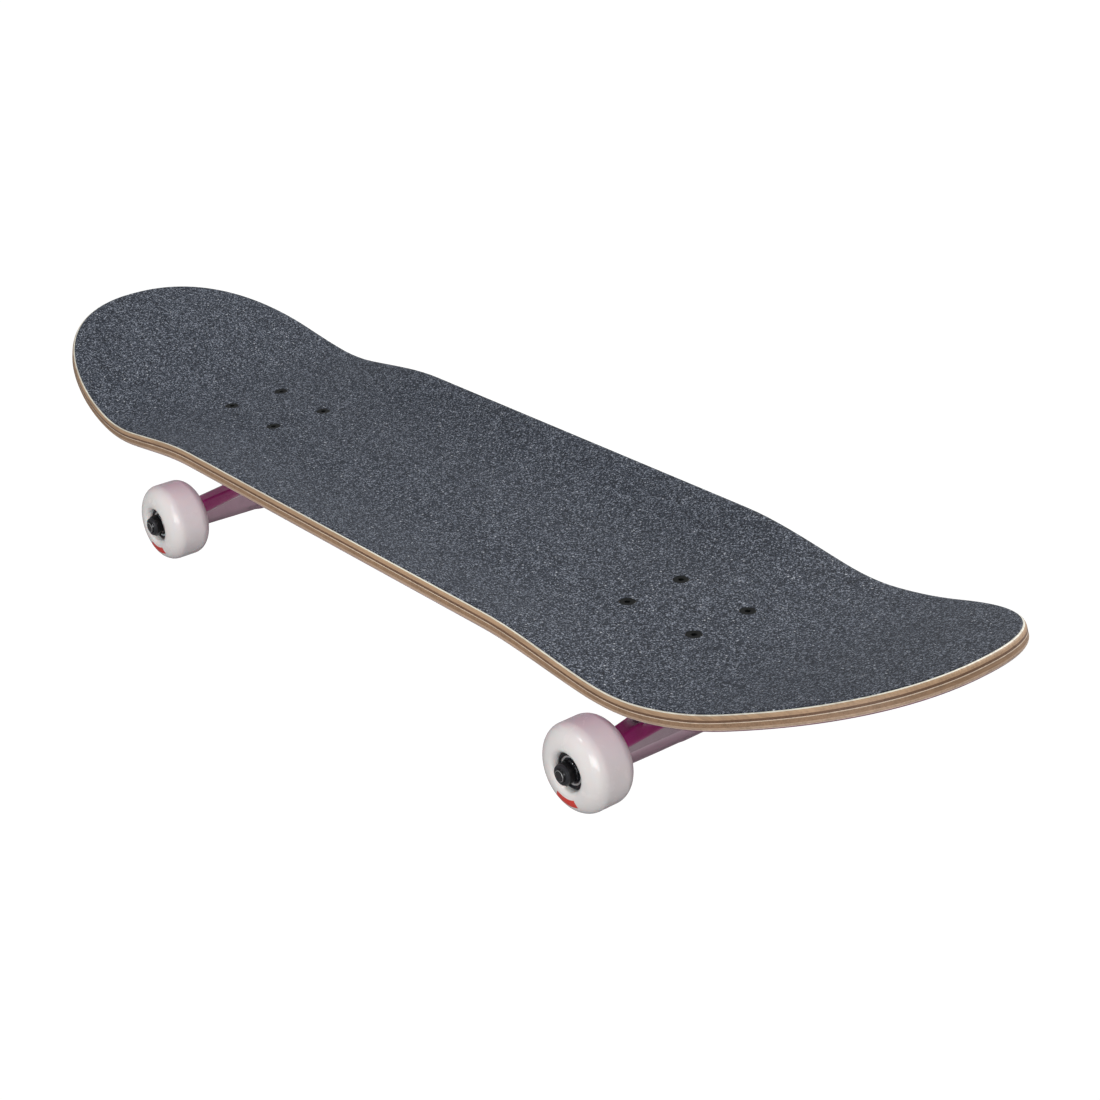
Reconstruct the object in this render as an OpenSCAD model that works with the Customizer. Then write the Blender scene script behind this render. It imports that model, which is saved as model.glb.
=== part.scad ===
// Skateboard: a seven-ply maple deck with griptape, two trucks and four wheels on ball bearings.
// +X points to the nose, +Z up. The origin is on the floor, under the middle of the outer box.

/* [Deck] */
// Distance between the inner rows of truck bolts
wheelbase = 365; // [340:1:380]
// Half width of the griptape in the middle of the board
grip_half_w = 101.4; // [95:0.1:110]
// Distance from the middle of the wheelbase to the griptape's end at the nose
nose_len = 413.4; // [405:0.1:430]
// Distance from the middle of the wheelbase to the griptape's end at the tail
tail_len = 398.6; // [390:0.1:420]
// Thickness of one maple veneer
ply_t = 1.3; // [1.1:0.05:1.5]
// Thickness of the griptape
grip_t = 0.6; // [0.4:0.1:1]
// How far the wooden edge stands out beyond the griptape
lip = 1.5; // [1:0.1:2]
// Angle of the nose above the flat middle
nose_angle = 20.7; // [16:0.1:24]
// Angle of the tail above the flat middle
tail_angle = 18.5; // [15:0.1:23]
// How far the rails stand above the flat middle
concave = 11.7; // [6:0.1:13]

/* [Trucks] */
// Height of the deck's underside above the axle
truck_h = 53.5; // [50:0.1:56]
// How far the axle lies outboard of the middle of its bolt pattern
axle_offset = 10.2; // [8:0.1:12]
// Width of the hanger between its end faces
hanger_w = 142; // [136:1:146]
// Overall length of an axle
axle_len = 209; // [205:0.5:212]
// Lean of the kingpin from upright
kingpin_lean = 12; // [8:1:14]

/* [Wheels] */
// Diameter of a wheel
wheel_d = 53; // [50:0.5:54]
// Width of a wheel over its side lips
wheel_w = 32; // [30:0.5:32]
// Width of the flat tread
tread_w = 12; // [8:1:20]
// Distance between the two bearings of a wheel
spacer_len = 10; // [9:0.5:10]

/* [Hidden] */
$fn = 48;

// Deck shape. Each end holds: length, start of the taper, two powers of the outline's curve,
// radius of the upward bend, and angle of the kick.
NOSE = [nose_len, 80, 5.2, 2.24, 260, nose_angle];
TAIL = [tail_len, 200, 3.3, 2.2, 233, tail_angle];
bend_x = 236;          // the kicks bend upwards from here
flat_half_w = 30;      // flat strip along the middle of the deck
rail_angle = 13.5;     // slope of the rails at the edge
fade_from = 155;       // the concave fades out between these distances from the middle
fade_to = 275;
plies = 7;
wood_t = plies * ply_t;
deck_t = wood_t + grip_t;
round_depth = 2 * ply_t;   // depth of the rounded edges
round_under = 2;           // how far the lower rounding cuts back

// Heights above the floor
axle_z = wheel_d / 2;
deck_bottom_z = axle_z + truck_h;
grip_top_z = deck_bottom_z + deck_t;

// Mounting hardware: 10-32 flat-head bolts and lock nuts on the standard truck pattern
bolt_pitch_x = 53.98;
bolt_pitch_y = 41.28;
bolt_r = 2.4;
bolt_hole_r = 2.7;
bolt_head_r = 4.7;
bolt_head_h = 2.5;
bolt_len = 25.4;
nut_af = 9.5;
nut_h = 6;
truck_x = wheelbase / 2 + bolt_pitch_x / 2;

// Truck, in its own frame: origin on the deck's underside in the middle of the bolt pattern,
// +X outboard. The steering axis runs from the bushing seat up to the pivot.
plate_t = 6.5;
plate_len = 77;
plate_w = 56;
plate_corner = 7;
seat_u = -13;
seat_z = -31;
pivot_u = 26;
pivot_z = -10.5;
steer_slope = atan((pivot_z - seat_z) / (pivot_u - seat_u));
kingpin_r = 4.76;
kingpin_hex_r = 8.2;
ring_r = 16.5;
ring_half_t = 5;
ring_hole_r = 8.5;
seat_depth = 1;
bushing_r = 12.3;
road_bushing_r = 9.2;     // the road-side bushing's small end
board_bushing_h = 13.5;
road_bushing_h = 10.5;
washer_t = 1.2;
kingpin_nut_h = 8.5;
pivot_r = 5.5;
pivot_gap = 0.1;
cup_wall = 1.6;
cup_depth = 8;
// Distances along the kingpin from the middle of the hanger's ring, positive towards the road
bushing_face = ring_half_t - seat_depth;
board_washer_at = -(bushing_face + board_bushing_h + washer_t);
road_washer_at = bushing_face + road_bushing_h;
kingpin_head_h = 4.6;
kingpin_head_at = board_washer_at - 5.2 - kingpin_head_h;
kingpin_end_at = road_washer_at + washer_t + kingpin_nut_h + 1.5;

// Axle, bearings and wheels: 608 bearings with seven balls
axle_r = 3.97;
speed_washer_t = 1;
bearing_w = 7;
bearing_out_r = 11;
bearing_in_r = 4;
outer_shoulder_r = 9;
inner_shoulder_r = 6;
ball_r = 1.984;
ball_count = 7;
groove_r = 2.06;
pitch_r = 7.5;
shield_seat_r = 9.6;
shield_t = 0.3;
shield_at = 2.9;
bearing_at = spacer_len / 2 + bearing_w / 2;
wheel_y = hanger_w / 2 + speed_washer_t + bearing_w + spacer_len / 2;
lip_r = 14.3;
axle_nut_r = 7.33;
axle_nut_h = 6.4;

MAPLE_LIGHT = "#d9b98c";
MAPLE_DARK = "#a87a4c";   // the two crossbands
LACQUER = "#a3307a";
GRIT = "#3d414b";
URETHANE = "#e9e4da";
STEEL = "#b9bcc0";
BLACK = "#1d1d1f";
ALUMINIUM = "#c9c6cc";

// ---------- Deck surface ----------
function end_of(x) = x >= 0 ? NOSE : TAIL;
function taper(x, grow) =
    let (e = end_of(x), u = (abs(x) - e[1]) / (e[0] + grow - e[1]))
    u <= 0 ? 1 : pow(max(0, 1 - pow(u, e[2])), 1 / e[3]);
function half_w(x, grow) = (grip_half_w + grow) * taper(x, grow);

// Height and slope of the centre line: flat, then an arc, then straight
function rise(x) =
    let (e = end_of(x), s = abs(x) - bend_x, arc = e[4] * sin(e[5]))
    s <= 0 ? 0 : s < arc ? e[4] - sqrt(e[4] * e[4] - s * s)
    : e[4] * (1 - cos(e[5])) + (s - arc) * tan(e[5]);
function rise_slope(x) =
    let (e = end_of(x), s = abs(x) - bend_x)
    sign(x) * (s <= 0 ? 0 : tan(min(e[5], asin(min(1, s / e[4])))));

// Height and slope of the rails across the board: flat strip, then an arc, then straight
rail_run = grip_half_w - flat_half_w;
rail_r = (rail_run * tan(rail_angle) - concave)
    / (sin(rail_angle) * tan(rail_angle) - (1 - cos(rail_angle)));
rail_arc = rail_r * sin(rail_angle);
function rail(y) =
    let (t = abs(y) - flat_half_w)
    t <= 0 ? 0 : t < rail_arc ? rail_r - sqrt(rail_r * rail_r - t * t)
    : rail_r * (1 - cos(rail_angle)) + (t - rail_arc) * tan(rail_angle);
function rail_slope(y) =
    let (t = abs(y) - flat_half_w)
    sign(y) * (t <= 0 ? 0 : tan(min(rail_angle, asin(min(1, t / rail_r)))));

// The concave fades out towards the kicks
function fade_t(x) = max(0, min(1, (abs(x) - fade_from) / (fade_to - fade_from)));
function fade(x) = 1 - fade_t(x) * fade_t(x) * (3 - 2 * fade_t(x));
function fade_slope(x) = -sign(x) * 6 * fade_t(x) * (1 - fade_t(x)) / (fade_to - fade_from);

// A point at a depth below the griptape's face, measured square to that face
function deck_point(x, y, depth) =
    let (n = [-rise_slope(x) - fade_slope(x) * rail(y), -fade(x) * rail_slope(y), 1])
    [x, y, rise(x) + fade(x) * rail(y)] - depth * n / norm(n);

// Stations along the board: few in the flat middle, closer towards the tips
mid_stations = [52, 104, fade_from, 175, 195, 215, bend_x];
tip_steps = 11;
tip_sweep = 87;
function stations(end, grow) = [
    for (x = mid_stations) x,
    for (i = [1 : tip_steps]) bend_x + (end[0] + grow - bend_x) * sin(tip_sweep * i / tip_steps)];
function all_stations(grow) =
    let (t = stations(TAIL, grow), n = stations(NOSE, grow))
    [for (i = [len(t) - 1 : -1 : 0]) -t[i], 0, for (x = n) x];
// Shares of the half width where the strips meet. The two middle ones bound the flat strip.
across = [-1, -0.85, -0.68, -0.49, -0.295, 0.295, 0.49, 0.68, 0.85, 1];

function layer(depth, grow) = [
    for (x = all_stations(grow)) for (f = across) deck_point(x, f * half_w(x, grow), depth)];

// One sheet of the deck, between two depths, each with its own outline
module sheet(depth_1, grow_1, depth_2, grow_2) {
    cols = len(across);
    rows = len(all_stations(0));
    low = rows * cols;
    points = concat(layer(depth_1, grow_1), layer(depth_2, grow_2));
    faces = [
        for (i = [0 : rows - 2]) for (j = [0 : cols - 2])
            let (a = i * cols + j, b = a + 1, c = a + cols, d = c + 1)
            each [[a, b, d], [a, d, c], [low + a, low + d, low + b], [low + a, low + c, low + d]],
        for (i = [0 : rows - 2])
            let (a = i * cols, c = a + cols, b = a + cols - 1, d = b + cols)
            each [[a, c, low + c], [a, low + c, low + a], [b, low + b, low + d], [b, low + d, d]],
        for (j = [0 : cols - 2])
            let (a = j, b = j + 1, c = (rows - 1) * cols + j, d = c + 1)
            each [[a, low + a, low + b], [a, low + b, b], [c, d, low + d], [c, low + d, low + c]]];
    polyhedron(points = points, faces = faces, convexity = 6);
}

// Outline growth at a depth below the wood's top: rounded over above and below
function edge_grow(t) =
    t < round_depth ? lip * sqrt(1 - pow(1 - t / round_depth, 2))
    : t > wood_t - round_depth + 0.001 ?
        lip - round_under * (1 - sqrt(max(0, 1 - pow(1 - (wood_t - t) / round_depth, 2))))
    : lip;

// Middle of the wheelbase, placed so that the origin is under the middle of the whole board
function reach(depth, grow) =
    let (s = all_stations(grow), n = len(s) - 1)
    [deck_point(s[n], 0, depth)[0], deck_point(s[0], 0, depth)[0]];
reaches = [for (k = [0 : plies]) reach(grip_t + k * ply_t, edge_grow(k * ply_t))];
mid_x = -(max([for (r = reaches) r[0]]) + min([for (r = reaches) r[1]])) / 2;

module on_deck() {
    translate([mid_x, 0, grip_top_z]) children();
}

module at_bolts() {
    for (end = [-1, 1], dx = [-0.5, 0.5], dy = [-0.5, 0.5])
        translate([end * truck_x + dx * bolt_pitch_x, dy * bolt_pitch_y, 0]) children();
}

module bolt_holes() {
    at_bolts() {
        translate([0, 0, -deck_t - 3]) cylinder(r = bolt_hole_r, h = deck_t + 6);
        translate([0, 0, -bolt_head_h])
            cylinder(r1 = bolt_hole_r, r2 = bolt_head_r + 0.15, h = bolt_head_h);
        cylinder(r = bolt_head_r + 0.15, h = 2);
    }
}

module griptape() {
    color(GRIT) on_deck() difference() {
        sheet(0, 0, grip_t, 0);
        bolt_holes();
    }
}

module ply(k) {
    top = (k - 1) * ply_t;
    tone = k == plies ? LACQUER : k == 3 || k == 5 ? MAPLE_DARK : MAPLE_LIGHT;
    color(tone) on_deck() difference() {
        sheet(grip_t + top, edge_grow(top), grip_t + top + ply_t, edge_grow(top + ply_t));
        bolt_holes();
    }
}

// ---------- Mounting hardware ----------
hex_key_r = 1.85;
module mounting_bolts() {
    color(BLACK) on_deck() at_bolts() difference() {
        union() {
            translate([0, 0, -bolt_head_h])
                cylinder(r1 = bolt_r, r2 = bolt_head_r - 0.05, h = bolt_head_h);
            translate([0, 0, -bolt_len]) cylinder(r = bolt_r, h = bolt_len - bolt_head_h);
        }
        translate([0, 0, -1.7]) cylinder(r = hex_key_r, h = 3, $fn = 6);
    }
}

module mounting_nuts() {
    color(BLACK) on_deck() at_bolts()
        translate([0, 0, -deck_t - plate_t - nut_h]) difference() {
            union() {
                translate([0, 0, 1.6]) cylinder(d = nut_af / cos(30), h = nut_h - 1.6, $fn = 6);
                cylinder(r1 = nut_af / 2 - 1, r2 = nut_af / 2 - 0.2, h = 1.6);
            }
            translate([0, 0, -1]) cylinder(r = bolt_r + 0.03, h = nut_h + 2);
        }
}

// ---------- Trucks ----------
module at_truck(end) {
    translate([mid_x + end * truck_x, 0, deck_bottom_z])
        rotate([0, 0, end > 0 ? 0 : 180]) children();
}

// Along the kingpin, from the middle of the ring, positive towards the road
module along_kingpin(t) {
    translate([seat_u, 0, seat_z]) rotate([0, 180 + kingpin_lean, 0])
        translate([0, 0, t]) children();
}

// Along the steering axis, from the centre of the pivot's round end, positive outboard
module along_pivot(s) {
    translate([pivot_u, 0, pivot_z]) rotate([0, 90 - steer_slope, 0])
        translate([0, 0, s]) children();
}

module along_axle(y) {
    translate([axle_offset, y, -truck_h]) rotate([-90, 0, 0]) children();
}

// A bar with a round end, centred on the pivot point and reaching back along the steering axis
module round_ended_bar(r, back) {
    along_pivot(0) rotate_extrude() {
        intersection() {
            circle(r = r);
            square([r, r]);
        }
        translate([0, -back]) square([r, back]);
    }
}

module plate_outline() {
    in_x = plate_len / 2 - plate_corner;
    in_y = plate_w / 2 - plate_corner;
    square([plate_len, 2 * in_y], center = true);
    square([2 * in_x, plate_w], center = true);
    for (x = [-in_x, in_x], y = [-in_y, in_y]) translate([x, y]) circle(r = plate_corner);
}

module baseplate() {
    boss_r = 13.2;
    spine_w = 22;
    spine_t = 7.6;
    spine_from = -24;
    spine_len = 58;
    cup_boss_r = pivot_r + cup_wall + 3.6;
    slot_r = 3.5;
    slot_half = 13;
    slot_y = 19;
    color(ALUMINIUM) difference() {
        union() {
            translate([0, 0, -plate_t]) linear_extrude(plate_t) plate_outline();
            intersection() {
                union() {
                    along_kingpin(board_washer_at - 40) cylinder(r = boss_r, h = 40);
                    along_pivot(-cup_depth) cylinder(r = cup_boss_r, h = 2 * cup_depth);
                    translate([spine_from, -spine_w / 2, -spine_t])
                        cube([spine_len, spine_w, spine_t]);
                }
                translate([-60, -60, -40]) cube([120, 120, 40]);
            }
        }
        for (x = [-0.5, 0.5], y = [-0.5, 0.5])
            translate([x * bolt_pitch_x, y * bolt_pitch_y, -plate_t - 4])
                cylinder(r = bolt_hole_r, h = plate_t + 8);
        along_kingpin(kingpin_head_at - 12) cylinder(r = kingpin_r + 0.05, h = 40);
        along_kingpin(kingpin_head_at - 12)
            cylinder(r = kingpin_hex_r + 0.15, h = 12 + kingpin_head_h, $fn = 6);
        round_ended_bar(pivot_r + pivot_gap + cup_wall, 20);
        // weight-saving pockets between the bolt holes, open towards the deck
        for (y = [-slot_y, slot_y]) translate([0, y, -3]) hull() {
            translate([-slot_half, 0, 0]) cylinder(r = slot_r, h = 5, $fn = 24);
            translate([slot_half, 0, 0]) cylinder(r = slot_r, h = 5, $fn = 24);
        }
    }
}

module pivot_cup() {
    color(BLACK) difference() {
        round_ended_bar(pivot_r + pivot_gap + cup_wall, cup_depth);
        round_ended_bar(pivot_r + pivot_gap, cup_depth + 1);
    }
}

module kingpin() {
    chamfer = 0.8;
    color(STEEL) {
        along_kingpin(kingpin_head_at) cylinder(r = kingpin_hex_r, h = kingpin_head_h, $fn = 6);
        along_kingpin(kingpin_head_at + kingpin_head_h) {
            shank = kingpin_end_at - kingpin_head_at - kingpin_head_h - chamfer;
            cylinder(r = kingpin_r, h = shank);
            translate([0, 0, shank]) cylinder(r1 = kingpin_r, r2 = kingpin_r - chamfer, h = chamfer);
        }
    }
}

module kingpin_nut() {
    hex_h = kingpin_nut_h - 2.2;
    color(BLACK) along_kingpin(road_washer_at + washer_t) difference() {
        union() {
            cylinder(r = kingpin_hex_r, h = hex_h, $fn = 6);
            translate([0, 0, hex_h]) cylinder(r1 = 6.9, r2 = 5.9, h = kingpin_nut_h - hex_h);
        }
        translate([0, 0, -1]) cylinder(r = kingpin_r + 0.04, h = kingpin_nut_h + 2);
    }
}

// A dished washer whose rim holds the bushing
module cup_washer(r) {
    rim = 0.9;
    rotate_extrude() {
        translate([kingpin_r + 0.15, 0]) square([r - kingpin_r - 0.15, washer_t]);
        translate([r, 0]) polygon([[0, 0], [rim, washer_t / 2], [rim, washer_t + rim],
                                   [rim - 0.6, washer_t + rim], [rim - 0.6, washer_t], [0, washer_t]]);
    }
}

module board_side_washer() {
    color(STEEL) along_kingpin(board_washer_at) cup_washer(bushing_r);
}

module road_side_washer() {
    color(STEEL) along_kingpin(road_washer_at + washer_t) rotate([180, 0, 0]) cup_washer(road_bushing_r);
}

module bushing(h, r_ring, r_far) {
    edge = 0.8;
    bore = kingpin_r + 0.15;
    rotate_extrude() polygon([[bore, 0], [r_ring - edge, 0], [r_ring, edge],
                              [r_far, h - edge], [r_far - edge, h], [bore, h]]);
}

module board_side_bushing() {
    color(URETHANE) along_kingpin(-bushing_face) rotate([180, 0, 0])
        bushing(board_bushing_h, bushing_r, bushing_r);
}

module road_side_bushing() {
    color(URETHANE) along_kingpin(bushing_face) bushing(road_bushing_h, bushing_r, road_bushing_r);
}

// Corners of the hanger's beam in cross-section about the axle: angle from outboard and radius
// where the arm meets the collar, then angle and radius beside the ring
BEAM = [[34, 10.4, 38, 13.4], [8, 10.7, 5, 13.2], [-20, 10.6, -22, 12.2], [-51, 10.8, -51, 11.6],
        [-90, 10.4, -90, 11.4], [-128, 10.2, -128, 11.4], [-166, 10.1, -166, 12.2],
        [158, 10.2, 144, 14.2], [120, 10.9, 122, 18.2], [74, 10.3, 76, 15.6]];
arm_out = 66;      // the faceted arm ends here, and a round collar goes on to the end face
arm_in = 24;
collar_r = 8.8;

function beam_ring(y, at) =
    [for (c = BEAM) [c[at + 1] * cos(c[at]), y, c[at + 1] * sin(c[at])]];

module beam() {
    n = len(BEAM);
    points = concat(beam_ring(-arm_out, 0), beam_ring(-arm_in, 2),
                    beam_ring(arm_in, 2), beam_ring(arm_out, 0));
    sides = [for (k = [0 : 2], i = [0 : n - 1])
        let (a = k * n + i, b = k * n + (i + 1) % n)
        each [[a, b + n, b], [a, a + n, b + n]]];
    ends = [for (i = [1 : n - 2]) each [[0, i, i + 1], [3 * n, 3 * n + i + 1, 3 * n + i]]];
    translate([axle_offset, 0, -truck_h])
        polyhedron(points = points, faces = concat(sides, ends), convexity = 4);
}

module hanger() {
    room_r = 15.6;
    room_h = 30;
    color(ALUMINIUM) difference() {
        union() {
            beam();
            along_axle(-hanger_w / 2) cylinder(r = collar_r, h = hanger_w);
            along_kingpin(-ring_half_t) cylinder(r = ring_r, h = 2 * ring_half_t);
            // web from the ring down to the beam
            hull() {
                along_kingpin(0.6 - ring_half_t) translate([-8, 0, 0])
                    cylinder(r = ring_r - 3, h = 2 * ring_half_t - 1.2, $fn = 32);
                along_axle(-17) cylinder(r = 9, h = 34, $fn = 32);
            }
            // neck from the web up to the pivot
            hull() {
                along_pivot(-17) cylinder(r = pivot_r + 1.5, h = 3, $fn = 32);
                along_pivot(-31) cylinder(r = 8, h = 2, $fn = 32);
                along_axle(-9) cylinder(r = 7, h = 18, $fn = 32);
            }
            round_ended_bar(pivot_r, 20);
        }
        along_axle(-hanger_w / 2 - 1) cylinder(r = axle_r, h = hanger_w + 2);
        along_kingpin(-ring_half_t - 1) cylinder(r = ring_hole_r, h = 2 * ring_half_t + 2);
        // room for the bushings, washers and nut, with a shallow seat for each bushing
        along_kingpin(-ring_half_t - room_h) cylinder(r = room_r, h = room_h);
        along_kingpin(ring_half_t) cylinder(r = room_r, h = room_h);
        along_kingpin(-ring_half_t - 1) cylinder(r = bushing_r + 0.3, h = 1 + seat_depth);
        along_kingpin(bushing_face) cylinder(r = bushing_r + 0.3, h = 1 + seat_depth);
    }
}

module axle() {
    point = 0.8;
    color(STEEL) along_axle(0) rotate_extrude() polygon([
        [0, -axle_len / 2], [axle_r - point, -axle_len / 2], [axle_r, point - axle_len / 2],
        [axle_r, axle_len / 2 - point], [axle_r - point, axle_len / 2], [0, axle_len / 2]]);
}

module speed_washers() {
    inner = hanger_w / 2;
    outer = wheel_y + spacer_len / 2 + bearing_w;
    color(STEEL) for (y = [-outer - speed_washer_t, -inner - speed_washer_t, inner, outer])
        along_axle(y) difference() {
            cylinder(r = 5.9, h = speed_washer_t);
            translate([0, 0, -1]) cylinder(r = axle_r + 0.1, h = speed_washer_t + 2);
        }
}

module axle_nuts() {
    at = wheel_y + spacer_len / 2 + bearing_w + speed_washer_t;
    hex_h = axle_nut_h - 2;
    color(BLACK) for (turn = [0, 180]) translate([axle_offset, 0, -truck_h])
        rotate([0, 0, turn]) rotate([-90, 0, 0]) translate([0, 0, at]) difference() {
            union() {
                cylinder(r = axle_nut_r, h = hex_h, $fn = 6);
                translate([0, 0, hex_h]) cylinder(r1 = 6.2, r2 = 5.4, h = 2);
            }
            translate([0, 0, -1]) cylinder(r = axle_r + 0.04, h = axle_nut_h + 2);
        }
}

// ---------- Wheels and bearings ----------
module at_wheel(end, side) {
    at_truck(end) along_axle(end * side * wheel_y) children();
}

module at_bearings() {
    for (turn = [0, 180]) rotate([turn, 0, 0]) translate([0, 0, bearing_at]) children();
}

module wheel() {
    r = wheel_d / 2;
    side = wheel_w / 2;
    seat_out = spacer_len / 2 + bearing_w;
    mouth_h = side - seat_out - 0.3;
    seat_r = bearing_out_r + 0.02;
    core_r = 8.6;
    steps = 9;
    // half of the profile, from the bore outwards: bearing seat, mouth, shoulder, tread
    half = concat(
        [[core_r, 0], [core_r, spacer_len / 2], [seat_r, spacer_len / 2], [seat_r, seat_out + 0.3]],
        [for (i = [1 : 4]) let (a = 90 * i / 5)
            [lip_r - (lip_r - seat_r) * cos(a), seat_out + 0.3 + mouth_h * sin(a)]],
        [for (i = [0 : steps]) let (a = 90 * i / steps)
            [lip_r + (r - lip_r) * sin(a), tread_w / 2 + (side - tread_w / 2) * cos(a)]]);
    n = len(half) - 1;
    color(URETHANE) rotate_extrude() polygon(concat(
        half, [for (i = [n : -1 : 1]) [half[i][0], -half[i][1]]]));
}

module outer_races() {
    color(STEEL) at_bearings() rotate_extrude() difference() {
        translate([outer_shoulder_r, -bearing_w / 2])
            square([bearing_out_r - outer_shoulder_r, bearing_w]);
        translate([pitch_r, 0]) circle(r = groove_r);
        for (y = [shield_at, -shield_at - 2])
            translate([outer_shoulder_r - 1, y]) square([shield_seat_r - outer_shoulder_r + 1, 2]);
    }
}

module inner_races() {
    color(STEEL) at_bearings() rotate_extrude() difference() {
        translate([bearing_in_r, -bearing_w / 2])
            square([inner_shoulder_r - bearing_in_r, bearing_w]);
        translate([pitch_r, 0]) circle(r = groove_r);
    }
}

// Balls, with a crown cage that holds them apart
module ball_set() {
    cage_t = 1.2;
    color(STEEL) at_bearings() {
        for (i = [0 : ball_count - 1]) rotate([0, 0, i * 360 / ball_count])
            translate([pitch_r, 0, 0]) sphere(r = ball_r);
        difference() {
            rotate_extrude() translate([pitch_r - cage_t / 2, -2.7]) square([cage_t, 3.5]);
            for (i = [0 : ball_count - 1]) rotate([0, 0, i * 360 / ball_count])
                translate([pitch_r, 0, 0]) sphere(r = ball_r + 0.1);
        }
    }
}

module shields() {
    color(BLACK) at_bearings() for (z = [shield_at, -shield_at - shield_t])
        translate([0, 0, z]) difference() {
            cylinder(r = shield_seat_r, h = shield_t);
            translate([0, 0, -1]) cylinder(r = inner_shoulder_r + 0.35, h = 3);
        }
}

module bearing_spacer() {
    tube_r = 5.4;
    color(STEEL) difference() {
        translate([0, 0, -spacer_len / 2]) cylinder(r = tube_r, h = spacer_len);
        translate([0, 0, -spacer_len]) cylinder(r = axle_r + 0.1, h = 2 * spacer_len);
    }
}

griptape();
ply(1);  // ply_1
ply(2);  // ply_2
ply(3);  // ply_3
ply(4);  // ply_4
ply(5);  // ply_5
ply(6);  // ply_6
ply(7);  // ply_7
mounting_bolts();
mounting_nuts();

at_truck(1) baseplate();  // front_baseplate
at_truck(1) pivot_cup();  // front_pivot_cup
at_truck(1) kingpin();  // front_kingpin
at_truck(1) kingpin_nut();  // front_kingpin_nut
at_truck(1) board_side_washer();  // front_board_side_washer
at_truck(1) board_side_bushing();  // front_board_side_bushing
at_truck(1) road_side_bushing();  // front_road_side_bushing
at_truck(1) road_side_washer();  // front_road_side_washer
at_truck(1) hanger();  // front_hanger
at_truck(1) axle();  // front_axle
at_truck(1) speed_washers();  // front_speed_washers
at_truck(1) axle_nuts();  // front_axle_nuts

at_truck(-1) baseplate();  // rear_baseplate
at_truck(-1) pivot_cup();  // rear_pivot_cup
at_truck(-1) kingpin();  // rear_kingpin
at_truck(-1) kingpin_nut();  // rear_kingpin_nut
at_truck(-1) board_side_washer();  // rear_board_side_washer
at_truck(-1) board_side_bushing();  // rear_board_side_bushing
at_truck(-1) road_side_bushing();  // rear_road_side_bushing
at_truck(-1) road_side_washer();  // rear_road_side_washer
at_truck(-1) hanger();  // rear_hanger
at_truck(-1) axle();  // rear_axle
at_truck(-1) speed_washers();  // rear_speed_washers
at_truck(-1) axle_nuts();  // rear_axle_nuts

at_wheel(1, 1) wheel();  // front_left_wheel
at_wheel(1, 1) outer_races();  // front_left_outer_races
at_wheel(1, 1) inner_races();  // front_left_inner_races
at_wheel(1, 1) ball_set();  // front_left_ball_set
at_wheel(1, 1) shields();  // front_left_shields
at_wheel(1, 1) bearing_spacer();  // front_left_spacer

at_wheel(1, -1) wheel();  // front_right_wheel
at_wheel(1, -1) outer_races();  // front_right_outer_races
at_wheel(1, -1) inner_races();  // front_right_inner_races
at_wheel(1, -1) ball_set();  // front_right_ball_set
at_wheel(1, -1) shields();  // front_right_shields
at_wheel(1, -1) bearing_spacer();  // front_right_spacer

at_wheel(-1, 1) wheel();  // rear_left_wheel
at_wheel(-1, 1) outer_races();  // rear_left_outer_races
at_wheel(-1, 1) inner_races();  // rear_left_inner_races
at_wheel(-1, 1) ball_set();  // rear_left_ball_set
at_wheel(-1, 1) shields();  // rear_left_shields
at_wheel(-1, 1) bearing_spacer();  // rear_left_spacer

at_wheel(-1, -1) wheel();  // rear_right_wheel
at_wheel(-1, -1) outer_races();  // rear_right_outer_races
at_wheel(-1, -1) inner_races();  // rear_right_inner_races
at_wheel(-1, -1) ball_set();  // rear_right_ball_set
at_wheel(-1, -1) shields();  // rear_right_shields
at_wheel(-1, -1) bearing_spacer();  // rear_right_spacer
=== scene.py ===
"""Looks of the skateboard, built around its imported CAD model.

Shapes are worked out in millimetres and made in metres. The deck follows the same formulas as the
CAD deck, and the trucks' castings are smooth blends of the same solids.
"""
import math

import bmesh
import bpy
import numpy as np
from mathutils import Matrix, Vector


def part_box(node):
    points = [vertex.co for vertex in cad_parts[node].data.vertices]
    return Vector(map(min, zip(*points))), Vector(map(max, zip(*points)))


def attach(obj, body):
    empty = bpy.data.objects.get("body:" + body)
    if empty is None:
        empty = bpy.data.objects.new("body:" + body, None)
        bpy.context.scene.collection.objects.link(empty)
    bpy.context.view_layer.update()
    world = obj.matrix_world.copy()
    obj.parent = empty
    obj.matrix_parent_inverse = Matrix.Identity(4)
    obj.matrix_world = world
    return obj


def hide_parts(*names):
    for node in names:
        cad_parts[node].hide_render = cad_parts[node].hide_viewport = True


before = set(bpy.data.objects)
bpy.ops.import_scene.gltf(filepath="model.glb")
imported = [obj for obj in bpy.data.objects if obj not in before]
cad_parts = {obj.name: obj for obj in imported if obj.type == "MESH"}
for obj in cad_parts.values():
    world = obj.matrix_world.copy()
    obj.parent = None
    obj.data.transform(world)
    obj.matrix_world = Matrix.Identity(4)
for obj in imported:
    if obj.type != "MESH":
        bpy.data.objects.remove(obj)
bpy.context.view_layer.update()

MM = 0.001
ENDS = {"front": 1, "rear": -1}
SIDES = {"left": 1, "right": -1}


def span(node):
    """Lowest and highest corner of a CAD node, in millimetres."""
    low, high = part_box(node)
    return np.array(low) / MM, np.array(high) / MM


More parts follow.
